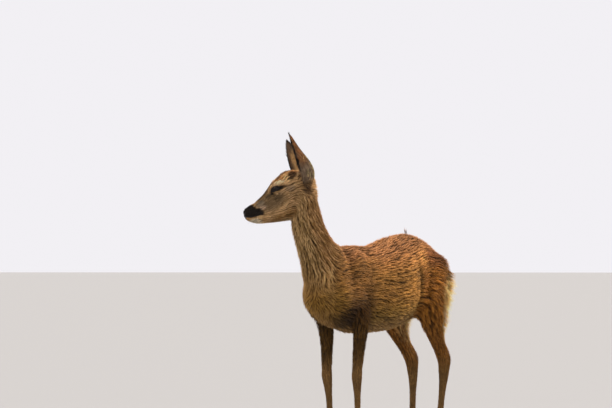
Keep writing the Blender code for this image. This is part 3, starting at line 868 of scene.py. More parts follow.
# Marks on the head: centre and radii in the head's frame, colour, strength. They lie on both sides.
headMarks = {
    "crown": ((0.0, -0.05, 0.078), (0.036, 0.052, 0.026), "#ce8e52", 0.9),
    "crownPatch": ((0.027, -0.022, 0.068), (0.015, 0.014, 0.014), "#3f2813", 0.95),
    "bridge": ((0.0, -0.132, 0.042), (0.015, 0.056, 0.014), "#463729", 0.9),
    "bridgeHigh": ((0.0, -0.097, 0.059), (0.013, 0.03, 0.011), "#4f3c29", 0.8),
    "faceSide": ((0.028, -0.118, 0.014), (0.022, 0.052, 0.028), "#554732", 0.7),
    "jaw": ((0.02, -0.07, -0.046), (0.034, 0.075, 0.02), "#7f5619", 0.6),
    # pale grey muzzle side: its own greyer hair with a painted highlight
    "paleMuzzleAndHighlight": ((0.02, -0.142, 0.02), (0.013, 0.014, 0.01), "#83735d", 0.8),
    "lipSide": ((0.018, -0.14, 0.007), (0.01, 0.011, 0.0065), "#b3957a", 0.8),
    "whiskerSpot": ((0.024, -0.129, 0.012), (0.008, 0.008, 0.0045), "#463524", 0.5),
    "chin": ((0.0, -0.176, -0.022), (0.022, 0.022, 0.013), "#cbbda2", 0.85),
    "brownCrown": ((0.0, -0.066, 0.08), (0.013, 0.055, 0.013), "#4c3018", 0.95),
    "throat": ((0.0, -0.1, -0.052), (0.018, 0.06, 0.014), "#a08863", 0.6),
    "brow": ((0.036, -0.073, 0.0585), (0.012, 0.02, 0.007), "#cba780", 0.9),
    "underEye": ((0.042, -0.082, 0.027), (0.01, 0.022, 0.005), "#a98862", 0.6),
    "behindEye": ((0.04, -0.044, 0.032), (0.01, 0.016, 0.014), "#6b5d4c", 0.6),
    "browSpot": ((0.03, -0.087, 0.059), (0.008, 0.006, 0.0045), "#33251a", 0.8),
    "tearMark": ((0.033, -0.103, 0.0365), (0.009, 0.01, 0.0065), "#1a120b", 0.95),
    "lidRim": ((0.038, -0.081, 0.0428), (0.018, 0.0215, 0.008), "#0d0906", 1.0),
    "earSpot": ((0.042, 0.002, 0.0095), (0.016, 0.012, 0.014), "#4b3018", 0.9),
    # painted shade in the crease under the ear's funnel
    "earCreaseShade": ((0.048, 0.006, 0.027), (0.014, 0.018, 0.006), "#3a2818", 0.75),
}
# The black of nose and upper lip ends where the head's y passes these values, from the mouth upwards.
nosePatch = {
    "heights": [-0.012, 0.0, 0.005, 0.009, 0.012, 0.025, 0.031],
    "rear": [-0.145, -0.1425, -0.1445, -0.151, -0.158, -0.162, -0.175],
}


def ellipsoidShare(points, centre, radii):
    # 1 inside, 0 outside, by the distance in units of the radii; x counts without its sign
    d = np.abs(points[:, 0]) - centre[0], points[:, 1] - centre[1], points[:, 2] - centre[2]
    away = np.sqrt(sum((part / reach) ** 2 for part, reach in zip(d, radii)))
    return smoothStep(1.25, 0.7, away)


def cupShape(local):
    # at points in an ear's frame: share of its length, the cup's radius, how far round the cup the point is
    # as an angle and in units of the cup's half angle, and its distance from the cup's axis
    rows = splineRows(earForm["stations"], 5)
    share = local[:, 2] / plan["earLength"]
    radius = np.interp(share, rows[:, 0], rows[:, 1])
    wrap = np.radians(np.interp(share, rows[:, 0], rows[:, 2]))
    x, y = local[:, 0], local[:, 1] + radius * np.cos(wrap)
    angle = np.arctan2(x, y)
    return share, radius, angle, np.abs(angle) / wrap, np.hypot(x, y)


def earLocal(points, side):
    # points in the ear's frame, and how far each belongs to that ear: it lies near the cup's wall, within its
    # angle, and low down only on the outer and rear side
    local = placed(points, earPlace(side).inverted())
    _, radius, _, bend, reach = cupShape(local)
    near = smoothStep(0.008, 0.0035, np.abs(reach - radius)) * smoothStep(1.3, 1.1, bend)
    low = smoothStep(-0.02, -0.008, local[:, 2]) * smoothStep(-0.01, 0.006, local[:, 1])
    outer = smoothStep(0.02, 0.03, np.abs(headPoints(points)[:, 0]) + 2 * np.clip(local[:, 2], 0, 1))
    part = np.maximum(smoothStep(0.006, 0.016, local[:, 2]), low * outer)
    return local, part * near * (local[:, 2] < 0.17)


def cupInside(radius, reach):
    # 0 on the ear's back and 1 on its inner face
    return smoothStep(0.0004, -0.0004, reach - radius)


def ramped(share, measures, borders):
    # the share times a smooth step for each border
    for measure, begins, full in borders:
        share = share * smoothStep(begins, full, measures[measure])
    return share


def blend(colours, share, code):
    return colours + (linearColour(code) - colours) * np.reshape(share, (-1, 1))


def earColour(colours, points, side, fray):
    # back, base and spine on the outside, lining and rim inside, dark along the edges and at the tip
    ear, share = earLocal(points, side)
    length, radius, _, bend, reach = cupShape(ear)
    inside = cupInside(radius, reach)
    bend, length = bend + 0.1 * fray[:, 0], length + 0.08 * fray[:, 1]
    tone = blend(colours, 1, earTones["back"])
    tone = blend(tone, smoothStep(0.42, 0.2, length), earTones["low"])
    tone = blend(tone, 0.7 * smoothStep(0.35, 0.12, bend), earTones["spine"])
    tone = tone * (0.54 + 0.96 * latticeNoise(points / 0.0065, 61))[:, None]
    rim = np.maximum(smoothStep(0.5, 0.8, bend), smoothStep(0.55, 0.85, length))
    lining = blend(blend(tone, 1, earTones["inner"]), rim, earTones["rim"])
    tone = tone + (lining - tone) * inside[:, None]
    edge = smoothStep(0.89, 0.94, bend) * smoothStep(0.1, 0.22, length) * np.maximum(1 - inside, bend > 0.95)
    tone = blend(tone, np.maximum(smoothStep(0.91, 1.0, length), edge), darkTone)
    return colours + (tone - colours) * share[:, None]


def coatColour(points, normals, where):
    # linear colour: the tones one over another, the head's marks, the ears, then slow mottling; the marks are
    # looked up at places shifted by a fine noise, which frays their edges
    fray = np.stack([latticeNoise(points / 0.006, seed) for seed in (41, 42, 43)], 1) - 0.5
    flat, local = planPoints(points) + 0.016 * fray, headPoints(points) + 0.0055 * fray
    out, y, z = np.abs(flat[:, 0]), flat[:, 1], flat[:, 2]
    measures = {"out": out, "y": y, "z": z, "faceY": normals[:, 1], "faceZ": normals[:, 2]}
    measures["arch"] = z + 0.35 * out
    shares = dict(zip(pathNames, where["shares"].T))
    legs = 1 - shares["head"] - shares["neck"] - shares["trunk"]
    hind = shares["hind_left"] + shares["hind_right"]
    line, passed = nearCurve(flat, skinForm["shoulderLine"])
    # the strip behind the flank's fold takes the thigh's tone: painted shade of that recess over the thigh's
    # own brown
    fold = np.interp(z, [0.43, 0.49, 0.545, 0.6], [0.084, 0.106, 0.104, 0.09])
    behind = smoothStep(0.0, 0.014, y - fold) * smoothStep(0.6, 0.55, z) * smoothStep(0.03, 0.06, out)
    shares |= {
        "all": np.ones(len(points)),
        "aboveLegs": z > 0.3,
        "front": shares["neck"] + shares["trunk"],
        "foreArea": smoothStep(-0.1, -0.16, y) * smoothStep(-0.32, -0.285, y),
        "groin": smoothStep(0.3, 0.37, z) * smoothStep(0.52, 0.47, z),
        "rear": smoothStep(0.19, 0.24, y),
        "legs": legs,
        "foreLegs": legs - hind,
        "haunch": np.maximum(hind * smoothStep(0.36, 0.46, z), behind),
        "shoulderLine": np.exp(-(((line - 0.006) / 0.006) ** 2)) * np.sin(math.pi * passed),
        "croup": ellipsoidShare(flat, (0.066, 0.196, 0.598), (0.05, 0.056, 0.04)),
        # where the painted shade between the forelegs lies
        "armpitShade": ellipsoidShare(flat, (0.043, -0.245, 0.422), (0.044, 0.046, 0.048)),
    }
    colours = np.zeros((len(points), 3))
    for code, strength, part, *borders in coatTones.values():
        colours = blend(colours, ramped(strength * shares[part], measures, borders), code)
    isHead = shares["head"] > 0.3
    for centre, radii, code, strength in headMarks.values():
        colours = blend(colours, ellipsoidShare(local, centre, radii) * strength * isHead, code)
    rear = np.interp(local[:, 2], nosePatch["heights"], nosePatch["rear"])
    above = smoothStep(-0.004, -0.0015, local[:, 2] - mouthHeight(local[:, 1]))
    colours = blend(colours, smoothStep(0.002, -0.002, local[:, 1] - rear) * above * isHead, darkTone)
    for sideName in sides:
        colours = earColour(colours, points, sideName, fray)
    mottle = latticeNoise(points / 0.045, 3) + 0.5 * latticeNoise(points / 0.018, 5)
    return colours * (0.84 + 0.22 * mottle)[:, None]


def bareShare(points):
    # 1 where no hair grows: the nose pad, the lips' edge, the eye opening
    local = headPoints(points)
    out = np.abs(local[:, 0])
    pad = ellipsoidShare(local, (0.0, -0.196, 0.015), (0.0125, 0.011, 0.0105))
    lips = smoothStep(0.0028, 0.0014, np.abs(local[:, 2] - mouthHeight(local[:, 1])))
    lips *= smoothStep(-0.15, -0.158, local[:, 1]) * (out < 0.04)
    bare = np.maximum(pad, lips)
    for sideName in sides:
        _, d, r, turnAngle, rise = eyeAngles(points, sideName)
        eye = smoothStep(9, 3, lidGap(turnAngle, rise)) * (r < 0.024) * (d @ eyeFrame(sideName)[1] > 0)
        bare = np.maximum(bare, eye)
    return bare


def addPointData(mesh, name, kind, values):
    field = {"FLOAT_COLOR": "color", "FLOAT": "value", "FLOAT_VECTOR": "vector"}[kind]
    layer = mesh.attributes.new(name, kind, "POINT")
    layer.data.foreach_set(field, values.astype(np.float32).ravel())


def addTones(mesh, colours):
    addPointData(mesh, "coat", "FLOAT_COLOR", np.hstack([np.clip(colours, 0, 1), np.ones((len(colours), 1))]))


def manySolids(name, points, faces, colours):
    # one piece of many separate small solids: points (count, per solid, 3), and the faces of one of them
    count, per = points.shape[:2]
    faces = (np.arange(count)[:, None, None] * per + np.array(faces)[None]).reshape(-1, 3)
    piece = newObject(name, bpy.data.meshes.new(name))
    rebuilt(piece, points.reshape(-1, 3), faces)
    addTones(piece.data, colours.reshape(-1, 3))
    return piece, faces


points, triangles = readMesh(skin)
skinNormals = vertexNormals(points, triangles)
where = bodyMap(points)
easy = relaxed(skinNormals, triangles, 6)
colours = coatColour(points, unit(easy), where)
bare = bareShare(points)
colours = blend(colours * 0.8, bare, "#16110d")  # darker hide between the tufts, partly the greyer underfur and partly painted shade under the coat; black leather at the nose
addTones(skin.data, colours)
addPointData(skin.data, "bare", "FLOAT", bare)
strand = where["offset"] + 0.12 * where["along"][:, None] * np.array([0.36, 0.48, 0.8])
addPointData(skin.data, "strand", "FLOAT_VECTOR", strand)
print("skin coloured")

# ---- eyes


def eyeBall(side):
    # p = centre + r (cos u out + sin u (cos v back + sin v up)), r fuller over the iris
    centre, out, back, up = eyeFrame(side)
    u = np.linspace(0.004, math.pi - 0.004, 72)[:, None, None]
    v = np.linspace(0, 2 * math.pi, 96, endpoint=False)[None, :, None]
    direction = np.cos(u) * out + np.sin(u) * (np.cos(v) * back + np.sin(v) * up)
    r = eyeForm["radius"] * (1 + 0.035 * smoothStep(0.85, 0.0, u))
    points, faces = closedGrid(centre + r * direction)
    if np.cross(back, up) @ out < 0:
        faces = [face[::-1] for face in faces]
    ballPiece = meshPiece("eyeball_" + side, [(points, faces)])
    d = points - centre
    across, rise, front = d @ back, d @ up, d @ out
    wide, tall = eyeForm["pupil"]
    pupil = smoothStep(1.12, 0.92, np.hypot(across / wide, rise / tall))
    spread = np.hypot(across, rise) / eyeForm["iris"]
    rays = latticeNoise(np.stack([np.arctan2(rise, across) * 9, spread * 1.5, 0 * rise], 1), 8)
    colours = linearColour("#1a0e07") * (0.7 + 0.6 * rays)[:, None]
    colours = blend(colours, np.maximum(pupil, smoothStep(0.86, 1.0, spread)), "#050302")
    colours = blend(colours, smoothStep(1.06, 1.3, spread) * (front > 0), "#2c221b")
    addTones(ballPiece.data, colours)
    ballPiece.data.shade_smooth()
    return ballPiece


def lidRing(side):
    # p(s, k) = centre + r_k (cos e cos t out + cos e sin t back + sin e up): t and e follow the almond's
    # edge, moved outward by the profile's degrees, r_k the profile's radius
    centre, out, back, up = eyeFrame(side)
    s = np.linspace(0, 2 * math.pi, 120, endpoint=False)
    turnAngle = eyeForm["halfWide"] * np.cos(s)
    upper, lower = almondEdge(turnAngle)
    rise = np.where(np.sin(s) >= 0, upper, lower)
    tall = np.where(np.sin(s) >= 0, eyeForm["upper"], eyeForm["lower"])
    away = unit(np.stack([turnAngle / eyeForm["halfWide"] ** 2, rise / tall**2], 1) + 1e-9)
    degrees, heights = np.array(eyeForm["lidDegrees"]), np.array(eyeForm["lidHeights"])
    radii = eyeForm["radius"] + 0.001 * heights
    t = np.radians(turnAngle[:, None] + away[:, 0:1] * degrees)[:, :, None]
    e = np.radians(rise[:, None] + away[:, 1:2] * degrees)[:, :, None]
    way = np.cos(e) * (np.cos(t) * out + np.sin(t) * back) + np.sin(e) * up
    grid = centre + radii[None, :, None] * way
    n, m = grid.shape[:2]
    quads = gridFaces(n, n, m)
    if np.cross(back, up) @ out > 0:
        quads = quads[:, ::-1]
    return grid.reshape(-1, 3), quads.tolist()


hairForm = {
    "lashes": 22,
    "lashSize": (0.0085, 0.00022),
    "whiskers": 15,
    "whiskerSize": (0.026, 0.00018),
    "whiskerPlace": (0.015, -0.166, -0.006),
    "whiskerReach": (0.004, 0.015, 0.01),
}


def bristles(name, roots, ways, sag, lengths, thick):
    # p(t, k) = root + length (t way + t² sag) + thick (1 - t)(cos k side + sin k other), three k and five t
    t = np.array([-0.12, 0.3, 0.6, 0.85])[None, :, None]
    line = roots[:, None] + lengths[:, None, None] * (t * ways[:, None] + np.sign(t) * t * t * sag)
    side = unit(np.cross(ways, [0.31, 0.22, 0.92]))
    other = np.cross(ways, side)
    k = np.radians([0, 120, 240])[None, None, :, None]
    ring = np.cos(k) * side[:, None, None] + np.sin(k) * other[:, None, None]
    rings = line[:, :, None] + thick * (1 - np.clip(t, 0, 1))[:, :, :, None] * ring
    tips = roots + lengths[:, None] * (ways + sag)
    points = np.concatenate([rings.reshape(len(roots), 12, 3), tips[:, None]], 1)
    faces = [(0, 2, 1)] + [(9 + i, 9 + (i + 1) % 3, 12) for i in range(3)]
    for row in (0, 3, 6):
        for i in range(3):
            a, b = row + i, row + (i + 1) % 3
            faces += [(a, b, b + 3), (a, b + 3, a + 3)]
    return manySolids(name, points, faces, np.zeros(points.shape) + linearColour("#1c140e"))[0]


def lashLines(side):
    # roots on the upper lid's edge, pointing out, up and a little back, longest in the middle
    centre, out, back, up = eyeFrame(side)
    t = np.linspace(-0.72, 0.86, hairForm["lashes"]) * eyeForm["halfWide"]
    rise = np.radians(almondEdge(t)[0] + 3)[:, None]
    turnAngle = np.radians(t)[:, None]
    way = np.cos(rise) * (np.cos(turnAngle) * out + np.sin(turnAngle) * back) + np.sin(rise) * up
    roots = centre + (eyeForm["radius"] + 0.0012) * way
    lean = unit(0.75 * way + 0.25 * out - 0.1 * up + rng.normal(0, 0.06, way.shape))
    size = hairForm["lashSize"][0] * (0.55 + 0.45 * np.cos(turnAngle[:, 0]))
    size = size * (0.8 + 0.4 * rng.random(len(t)))
    return roots, lean, 0.3 * up, size


def whiskerLines(side, points, normals):
    # roots at the skin points nearest to random places on the lip, pointing out, forward and down
    spread = hairForm["whiskerReach"] * rng.normal(0, 0.6, (hairForm["whiskers"], 3))
    spots = (np.array(hairForm["whiskerPlace"]) + spread) * [sides[side], 1, 1]
    spots = placed(spots, headPlace)
    nearest = np.array([np.linalg.norm(points - spot, axis=1).argmin() for spot in spots])
    onward, down = turned(np.array([[0.0, -1.0, 0.0], [0.0, 0.0, -1.0]]), headPlace)
    way = unit(normals[nearest] + 0.35 * onward + 0.25 * down + rng.normal(0, 0.12, (len(nearest), 3)))
    size = hairForm["whiskerSize"][0] * (0.5 + 0.6 * rng.random(len(nearest)))
    return points[nearest], way, 0.22 * down, size


bristlePieces = []
for sideName in sides:
    bristlePieces.append(bristles("lashes_" + sideName, *lashLines(sideName), hairForm["lashSize"][1]))
    lines = whiskerLines(sideName, points, skinNormals)
    bristlePieces.append(bristles("whiskers_" + sideName, *lines, hairForm["whiskerSize"][1]))
eyeBalls = {sideName: eyeBall(sideName) for sideName in sides}
lids = meshPiece("eyelids", [lidRing(sideName) for sideName in sides])
lids.data.shade_smooth()
print("eyes and lids made")

# ---- the coat: tufts in locks over the skin

# length, width and height in metres, layers that lie over each point, strength of the locks
coatForm = {
    "nose": (0.0045, 0.0009, 0.0009, 2.6, 0.5),
    "face": (0.0075, 0.0008, 0.0013, 3.6, 1.5),
    "cheek": (0.012, 0.001, 0.0026, 4.2, 2.1),
    "neck": (0.02, 0.0016, 0.0058, 4.8, 1.5),
    "trunk": (0.0225, 0.0017, 0.006, 5.0, 1.35),
    "belly": (0.02, 0.002, 0.006, 3.6, 0.9),
    "rump": (0.017, 0.0013, 0.027, 6.0, 0.7),
    "thigh": (0.0205, 0.0019, 0.007, 4.2, 2.0),
    "upperLeg": (0.015, 0.0016, 0.0036, 3.4, 0.9),
    "shank": (0.0075, 0.0012, 0.0015, 2.4, 0.6),
    "earBack": (0.007, 0.0008, 0.0009, 4.4, 0.5),
    "earInner": (0.015, 0.0009, 0.0018, 4.2, 0.4),
}
# width and length of a lock in metres
lockForm = {"head": (0.006, 0.02), "neck": (0.007, 0.06), "trunk": (0.0068, 0.044), "leg": (0.0068, 0.024)}
lockSpan = {"head": 0.055, "neck": 0.055, "trunk": 0.105, "leg": 0.022}  # metres round the body to a radian
coatLimit = 19800  # tufts in a piece, ten triangles each
patchSize = 0.0015  # of a tuft on the map of its piece
strayTuft = {"place": (0.0, 0.161, 0.672), "reach": 0.0062, "size": (0.01, 0.026)}  # along the back, and up
# where each kind of hair begins and where it is full, in the plan's axes or, with head, along the head
coatBorders = {
    "belly": [("faceZ", -0.45, -0.85), ("y", -0.24, -0.18)],
    "rump": [("faceY", 0.3, 0.54), ("z", 0.6, 0.555), ("y", 0.19, 0.24), ("z", 0.3, 0.36)],
    "haunch": [("y", 0.1, 0.15), ("z", 0.61, 0.55)],
    "face": [("head", -0.075, -0.105)],
    "nose": [("head", -0.155, -0.185)],
    "thigh": [("z", 0.36, 0.44)],
    "upper": [("z", 0.24, 0.32)],
}


def regionShares(points, normals, where):
    # how much of each entry of coatForm applies at a point
    flat = planPoints(points)
    measures = {"y": flat[:, 1], "z": flat[:, 2], "faceY": normals[:, 1], "faceZ": normals[:, 2]}
    measures["head"] = headPoints(points)[:, 1]
    borders = coatBorders.values()
    belly, rump, haunch, face, nose, thigh, upper = (ramped(1, measures, rows) for rows in borders)
    head, neck, trunk = where["shares"].T[:3]
    legs = 1 - head - neck - trunk
    haunch = trunk * haunch
    ear, inside = 0, 0
    for sideName in sides:
        local, share = earLocal(points, sideName)
        _, radius, _, _, reach = cupShape(local)
        ear = ear + share
        inside = np.maximum(inside, cupInside(radius, reach) * share)
    rest = 1 - ear
    return {
        "nose": head * face * nose * rest,
        "face": head * face * (1 - nose) * rest,
        "cheek": head * (1 - face) * rest,
        "neck": neck * rest,
        "trunk": (trunk - haunch) * (1 - belly) * (1 - rump),
        "belly": (trunk - haunch) * belly * (1 - rump),
        "rump": (trunk + legs * thigh) * rump,
        "thigh": (legs * thigh + haunch) * (1 - rump),
        "upperLeg": legs * (1 - thigh) * upper,
        "shank": legs * (1 - thigh) * (1 - upper),
        "earBack": ear - inside,
        "earInner": inside,
    }


def scattered(points, triangles, density):
    # roots at equal steps of the running sum of density times area, each at a random place in its triangle
    a, b, c = (points[triangles[:, i]] for i in range(3))
    weight = 0.5 * np.linalg.norm(np.cross(b - a, c - a), axis=1) * density[triangles].mean(1)
    total = np.cumsum(weight)
    count = int(total[-1])
    which = np.searchsorted(total, (np.arange(count) + rng.random(count)) * total[-1] / count)
    which = np.minimum(which, len(triangles) - 1)
    u, v = rng.random((2, count))
    over = u + v > 1
    u, v = np.where(over, 1 - u, u), np.where(over, 1 - v, v)
    mix = np.stack([1 - u - v, u, v], 1)[:, :, None]
    return triangles[which], mix


driftWaves = [(0.009, 0.06, 21), (0.003, 0.017, 22)]  # reach and length in metres, seed


def drift(points):
    # how far the locks' lines stray across the body
    return sum(reach * latticeNoise(points / size, seed) for reach, size, seed in driftWaves)


def hairLie(points, normals, where):
    # the part's direction, drooping on the trunk, running out along the ears, laid on the surface and turned
    # so that it follows the locks' lines: slope = -(drift a step further on - drift here) / step
    _, neck, trunk = where["shares"].T[:3]
    _, y, z = planPoints(points).T
    rear = np.maximum(smoothStep(0.2, 0.29, y), 0.9 * smoothStep(0.09, 0.17, y) * smoothStep(0.6, 0.52, z))
    droop = (0.2 + 0.8 * rear) * trunk + 0.15 * neck
    lie = where["flow"] - droop[:, None] * np.array([0, 0, 1.0])
    for sideName in sides:
        _, share = earLocal(points, sideName)
        out = turned(np.array([0.0, 0.0, 1.0]), earPlace(sideName))
        lie = lie * (1 - share[:, None]) + out * share[:, None]
    lie = unit(lie - normals * (lie * normals).sum(1, keepdims=True))
    side = np.cross(normals, lie)
    step = 0.004
    slope = -(drift(points + lie * step) - drift(points)) / step + rng.normal(0, 0.09, len(points))
    return unit(lie + side * slope[:, None])


def hashed(i, j, seed):
    # 0 to 1 from two whole numbers
    return scrambled((i.astype(np.int64) * 73856093) ^ (j.astype(np.int64) * 19349663) ^ (seed * 83492791))


def lockOf(points, where):
    # Locks stand in columns along the body, each column and each lock shifted at random. Gives how far a root
    # lies beside its lock's middle, in lock widths and in metres, how far along it is, and the lock's number.
    kinds = ["head", "neck", "trunk"] + ["leg"] * 4
    size = np.array([lockForm[kind] for kind in kinds])[where["chart"]]
    span = np.array([lockSpan[kind] for kind in kinds])[where["chart"]]
    around, along = where["angle"] * span, where["along"].copy()
    for sideName in sides:
        local, share = earLocal(points, sideName)
        _, radius, angle, _, reach = cupShape(local)
        isEar = share > 0.5
        around[isEar] = (radius * angle + cupInside(radius, reach))[isEar]
        along[isEar] = local[isEar, 2]
    wide, tall = size.T
    around = around + drift(points)
    along = along + 0.25 * tall * (latticeNoise(points / 0.022, 32) - 0.5)
    column = np.floor(around / wide)
    passed = along / tall + hashed(column, where["chart"], 3)
    row = np.floor(passed)
    middle = column + 0.5 + 0.7 * (hashed(column, row, 4) - 0.5)
    beside = middle - around / wide
    return beside, beside * wide, passed - row, hashed(column, row, 5)


tuftForm = {
    "sunk": 0.0008,  # how far the root lies under the skin
    "middle": (0.52, 0.62, 0.35),  # shares of length, height and swing at the middle points
    "half": (0.42, 0.5),  # half width at the root and at the middle, in widths
    "ridge": 0.3,  # height of the top points, in widths
    "vary": [(0.75, 0.5), (0.85, 0.3), (0.8, 0.35)],  # length, height, lift: the least, and what chance adds
}


def tuftPoints(root, normal, lie, length, width, height, swing, lift):
    # seven points: left, top and right at the root, the same at the middle, and the tip
    side = np.cross(normal, lie)
    length, width, height, swing, lift = (v[:, None] for v in (length, width, height, swing, lift))
    along, up, across = tuftForm["middle"]
    base = root - normal * tuftForm["sunk"]
    middle = root + lie * along * length + normal * up * height + side * across * swing
    rows = []
    for place, half in zip((base, middle), tuftForm["half"]):
        ridge = place + normal * tuftForm["ridge"] * width
        rows += [place - side * half * width, ridge, place + side * half * width]
    return np.stack([*rows, root + lie * length + normal * lift * height + side * swing], 1)


tuftFaces = np.array(
    [(k, k + 3, (k + 1) % 3 + 3) for k in range(3)]
    + [(k, (k + 1) % 3 + 3, (k + 1) % 3) for k in range(3)]
    + [(k + 3, 6, (k + 1) % 3 + 3) for k in range(3)]
    + [(0, 1, 2)]
)


def coatPiece(name, tufts, colours, patch):
    # one mesh of separate closed tufts, with the patch of each on the map of the skin
    piece, faces = manySolids(name, tufts, tuftFaces, colours)
    layer = piece.data.uv_layers.new(name="OFBake")
    corner = np.array([(x, y) for y in (-1, 0.2) for x in (-1, 0, 1)] + [(0, 1)]) * patchSize
    spots = (patch[:, None, :] + corner[None]).reshape(-1, 2)
    layer.data.foreach_set("uv", spots[faces.ravel()].astype(np.float32).ravel())
    return piece


toneForm = {
    "crest": 0.44,  # brighter on a lock's crest and darker in the gaps between locks, painted light and shade, in the waves' measure
    "lock": 0.44,  # one lock against another
    "along": 0.3,  # painted shade at a lock's start, under the tips of the lock before, against its lighter end
    "chance": 0.44,
    "waves": 0.3,
    "least": 0.16,
    "root": (0.26, 0.72),  # darkest and lightest root: partly the greyer underfur, partly painted shade under the layers above
    "earRoot": 0.85,
    # rump hair: lighter roots, painted glow of backlight through the fringe
    "rumpRootGlow": 0.75,
    "tip": 1.42,
    "earTipLess": 0.27,
    "pale": "#b99c7c",  # bright tufts turn paler in hue as well
}

points, triangles = readMesh(skin)
regions = regionShares(points, unit(easy), where)
share = np.stack([regions[name] for name in coatForm], 1)
share /= np.maximum(share.sum(1, keepdims=True), 1e-9)
atSkin = share @ np.array(list(coatForm.values()))
hairless = smoothStep(0.25, 0.6, bare)
hoofEnd = smoothStep(0.018, 0.026, planPoints(points)[:, 2])
density = atSkin[:, 3] / (atSkin[:, 0] * atSkin[:, 1]) * (1 - hairless) * hoofEnd * 0.8
corners, mix = scattered(points, triangles, density)
roots = (points[corners] * mix).sum(1)
rootNormals = unit((easy[corners] * mix).sum(1))
rootForm = (atSkin[corners] * mix).sum(1)
print("tufts:", len(roots))

rootWhere = bodyMap(roots)
lie = hairLie(roots, rootNormals, rootWhere)
length, width, height, _, lockPower = rootForm.T
for sideName in sides:  # short round the eyes and at the ears' tips
    _, _, r, turnAngle, rise = eyeAngles(roots, sideName)
    length = length * (1 - 0.72 * smoothStep(38, 6, lidGap(turnAngle, rise)) * smoothStep(0.034, 0.026, r))
    local, earPart = earLocal(roots, sideName)
    length = length * (1 - 0.5 * earPart * smoothStep(0.72, 0.98, local[:, 2] / plan["earLength"]))
beside, aside, passed, lockNumber = lockOf(roots, rootWhere)
crest = 1 - 2 * smoothStep(0.18, 0.55, np.abs(beside))
uneven = latticeNoise(roots / 0.035, 51) + 0.9 * latticeNoise(roots / 0.011, 52)
swing = lockPower * aside * (0.45 + 0.5 * passed) * np.minimum(length / 0.02, 1)
draws = rng.random((3, len(roots)))
longer, taller, lift = (least + more * draw for (least, more), draw in zip(tuftForm["vary"], draws))
length = length * longer
height = height * taller * (1 + lockPower * (0.3 * crest + 0.36 * (lockNumber - 0.5)))
isStray = np.linalg.norm(planPoints(roots) - strayTuft["place"], axis=1) < strayTuft["reach"]
length[isStray], height[isStray] = strayTuft["size"]
lie[isStray] *= -1
tufts = tuftPoints(roots, rootNormals, lie, length, width, height, swing, lift)
base = coatColour(roots, rootNormals, rootWhere)
# Tuft tones: painted light on the locks' crests and painted shade in their gaps and at each lock's start; the
# rest varies at random.
locks = toneForm["crest"] * uneven * crest + toneForm["lock"] * (lockNumber - 0.5)
locks = locks + toneForm["along"] * (passed - 0.5)
tone = 1 + lockPower * locks + toneForm["chance"] * (rng.random(len(roots)) - 0.5)
tone = np.maximum(tone + toneForm["waves"] * (uneven - 0.95), toneForm["least"])
# Root to tip: dark roots, partly the greyer underfur and partly painted shade under the layers above, and
# paler tips.
rootShade = np.clip(0.86 - 30 * length, *toneForm["root"])
earHair = ((regions["earBack"] + regions["earInner"])[corners] * mix[:, :, 0]).sum(1)
rootShade = rootShade + (toneForm["earRoot"] - rootShade) * earHair
# the rump's fringe keeps light roots: painted backlight glow
rumpHair = (regions["rump"][corners] * mix[:, :, 0]).sum(1)
rootShade = rootShade + (toneForm["rumpRootGlow"] - rootShade) * rumpHair
tip = toneForm["tip"] - toneForm["earTipLess"] * earHair
shade = np.stack([rootShade] * 3 + [0.6 + 0.6 * rootShade] * 3 + [tip], 1)
paleTone = linearColour(toneForm["pale"])
pale = paleTone * (base.mean(1) / paleTone.mean())[:, None]
grizzle = (0.1 + 0.26 * rootWhere["shares"][:, :2].sum(1)) * np.clip(1.6 * (tone - 1), 0, 1)
base = base + (pale - base) * grizzle[:, None]
tuftColours = base[:, None, :] * tone[:, None, None] * shade[:, :, None]

# Pieces: by part, the large ones cut across the body so that none is too big.
isEar = earHair > 0.5
group = np.where(isEar, 1, rootWhere["chart"] + (rootWhere["chart"] > 0))
groupNames = ["Head", "Ears", "Neck", "Trunk", "ForeLeft", "HindLeft", "ForeRight", "HindRight"]
spread = np.stack([rootWhere["angle"] / (2 * math.pi) + 0.5, rootWhere["along"]], 1)
coatPieces = {}
for number, groupName in enumerate(groupNames):
    chosen = np.flatnonzero(group == number)
    cuts = max(1, math.ceil(len(chosen) / coatLimit))
    order = chosen[np.argsort(rootWhere["along"][chosen], kind="stable")]
    for part, pick in enumerate(np.array_split(order, cuts)):
        pieceName = "coat" + groupName + (str(part + 1) if cuts > 1 else "")
        place = spread[pick]
        low, high = place.min(0), place.max(0)
        patch = 0.02 + 0.96 * (place - low) / (high - low)
        coatPieces[pieceName] = coatPiece(pieceName, tufts[pick], tuftColours[pick], patch)
        print(pieceName, len(pick), "tufts")

# ---- materials


def nodeOf(tree, kind, links=None, **settings):
    # adds a node: a setting is a property of the node, or else the value of the input of that name
    node = tree.nodes.new(kind)
    for name, value in settings.items():
        if hasattr(node, name):
            setattr(node, name, value)
        else:
            node.inputs[name.replace("_", " ")].default_value = value
    for name, socket in (links or {}).items():
        tree.links.new(socket, node.inputs[name])
    return node


def newMaterial(name, linksOf=lambda tree: {}, **settings):
    # a Principled surface with these settings, and the links that linksOf makes in its tree
    material = bpy.data.materials.new(name)
    material.use_nodes = True
    tree = material.node_tree
    tree.nodes.clear()
    shader = nodeOf(tree, "ShaderNodeBsdfPrincipled", linksOf(tree), **settings)
    nodeOf(tree, "ShaderNodeOutputMaterial", {"Surface": shader.outputs[0]})
    return material


def ownTone(tree):
    return {"Base Color": nodeOf(tree, "ShaderNodeAttribute", attribute_name="coat").outputs["Color"]}


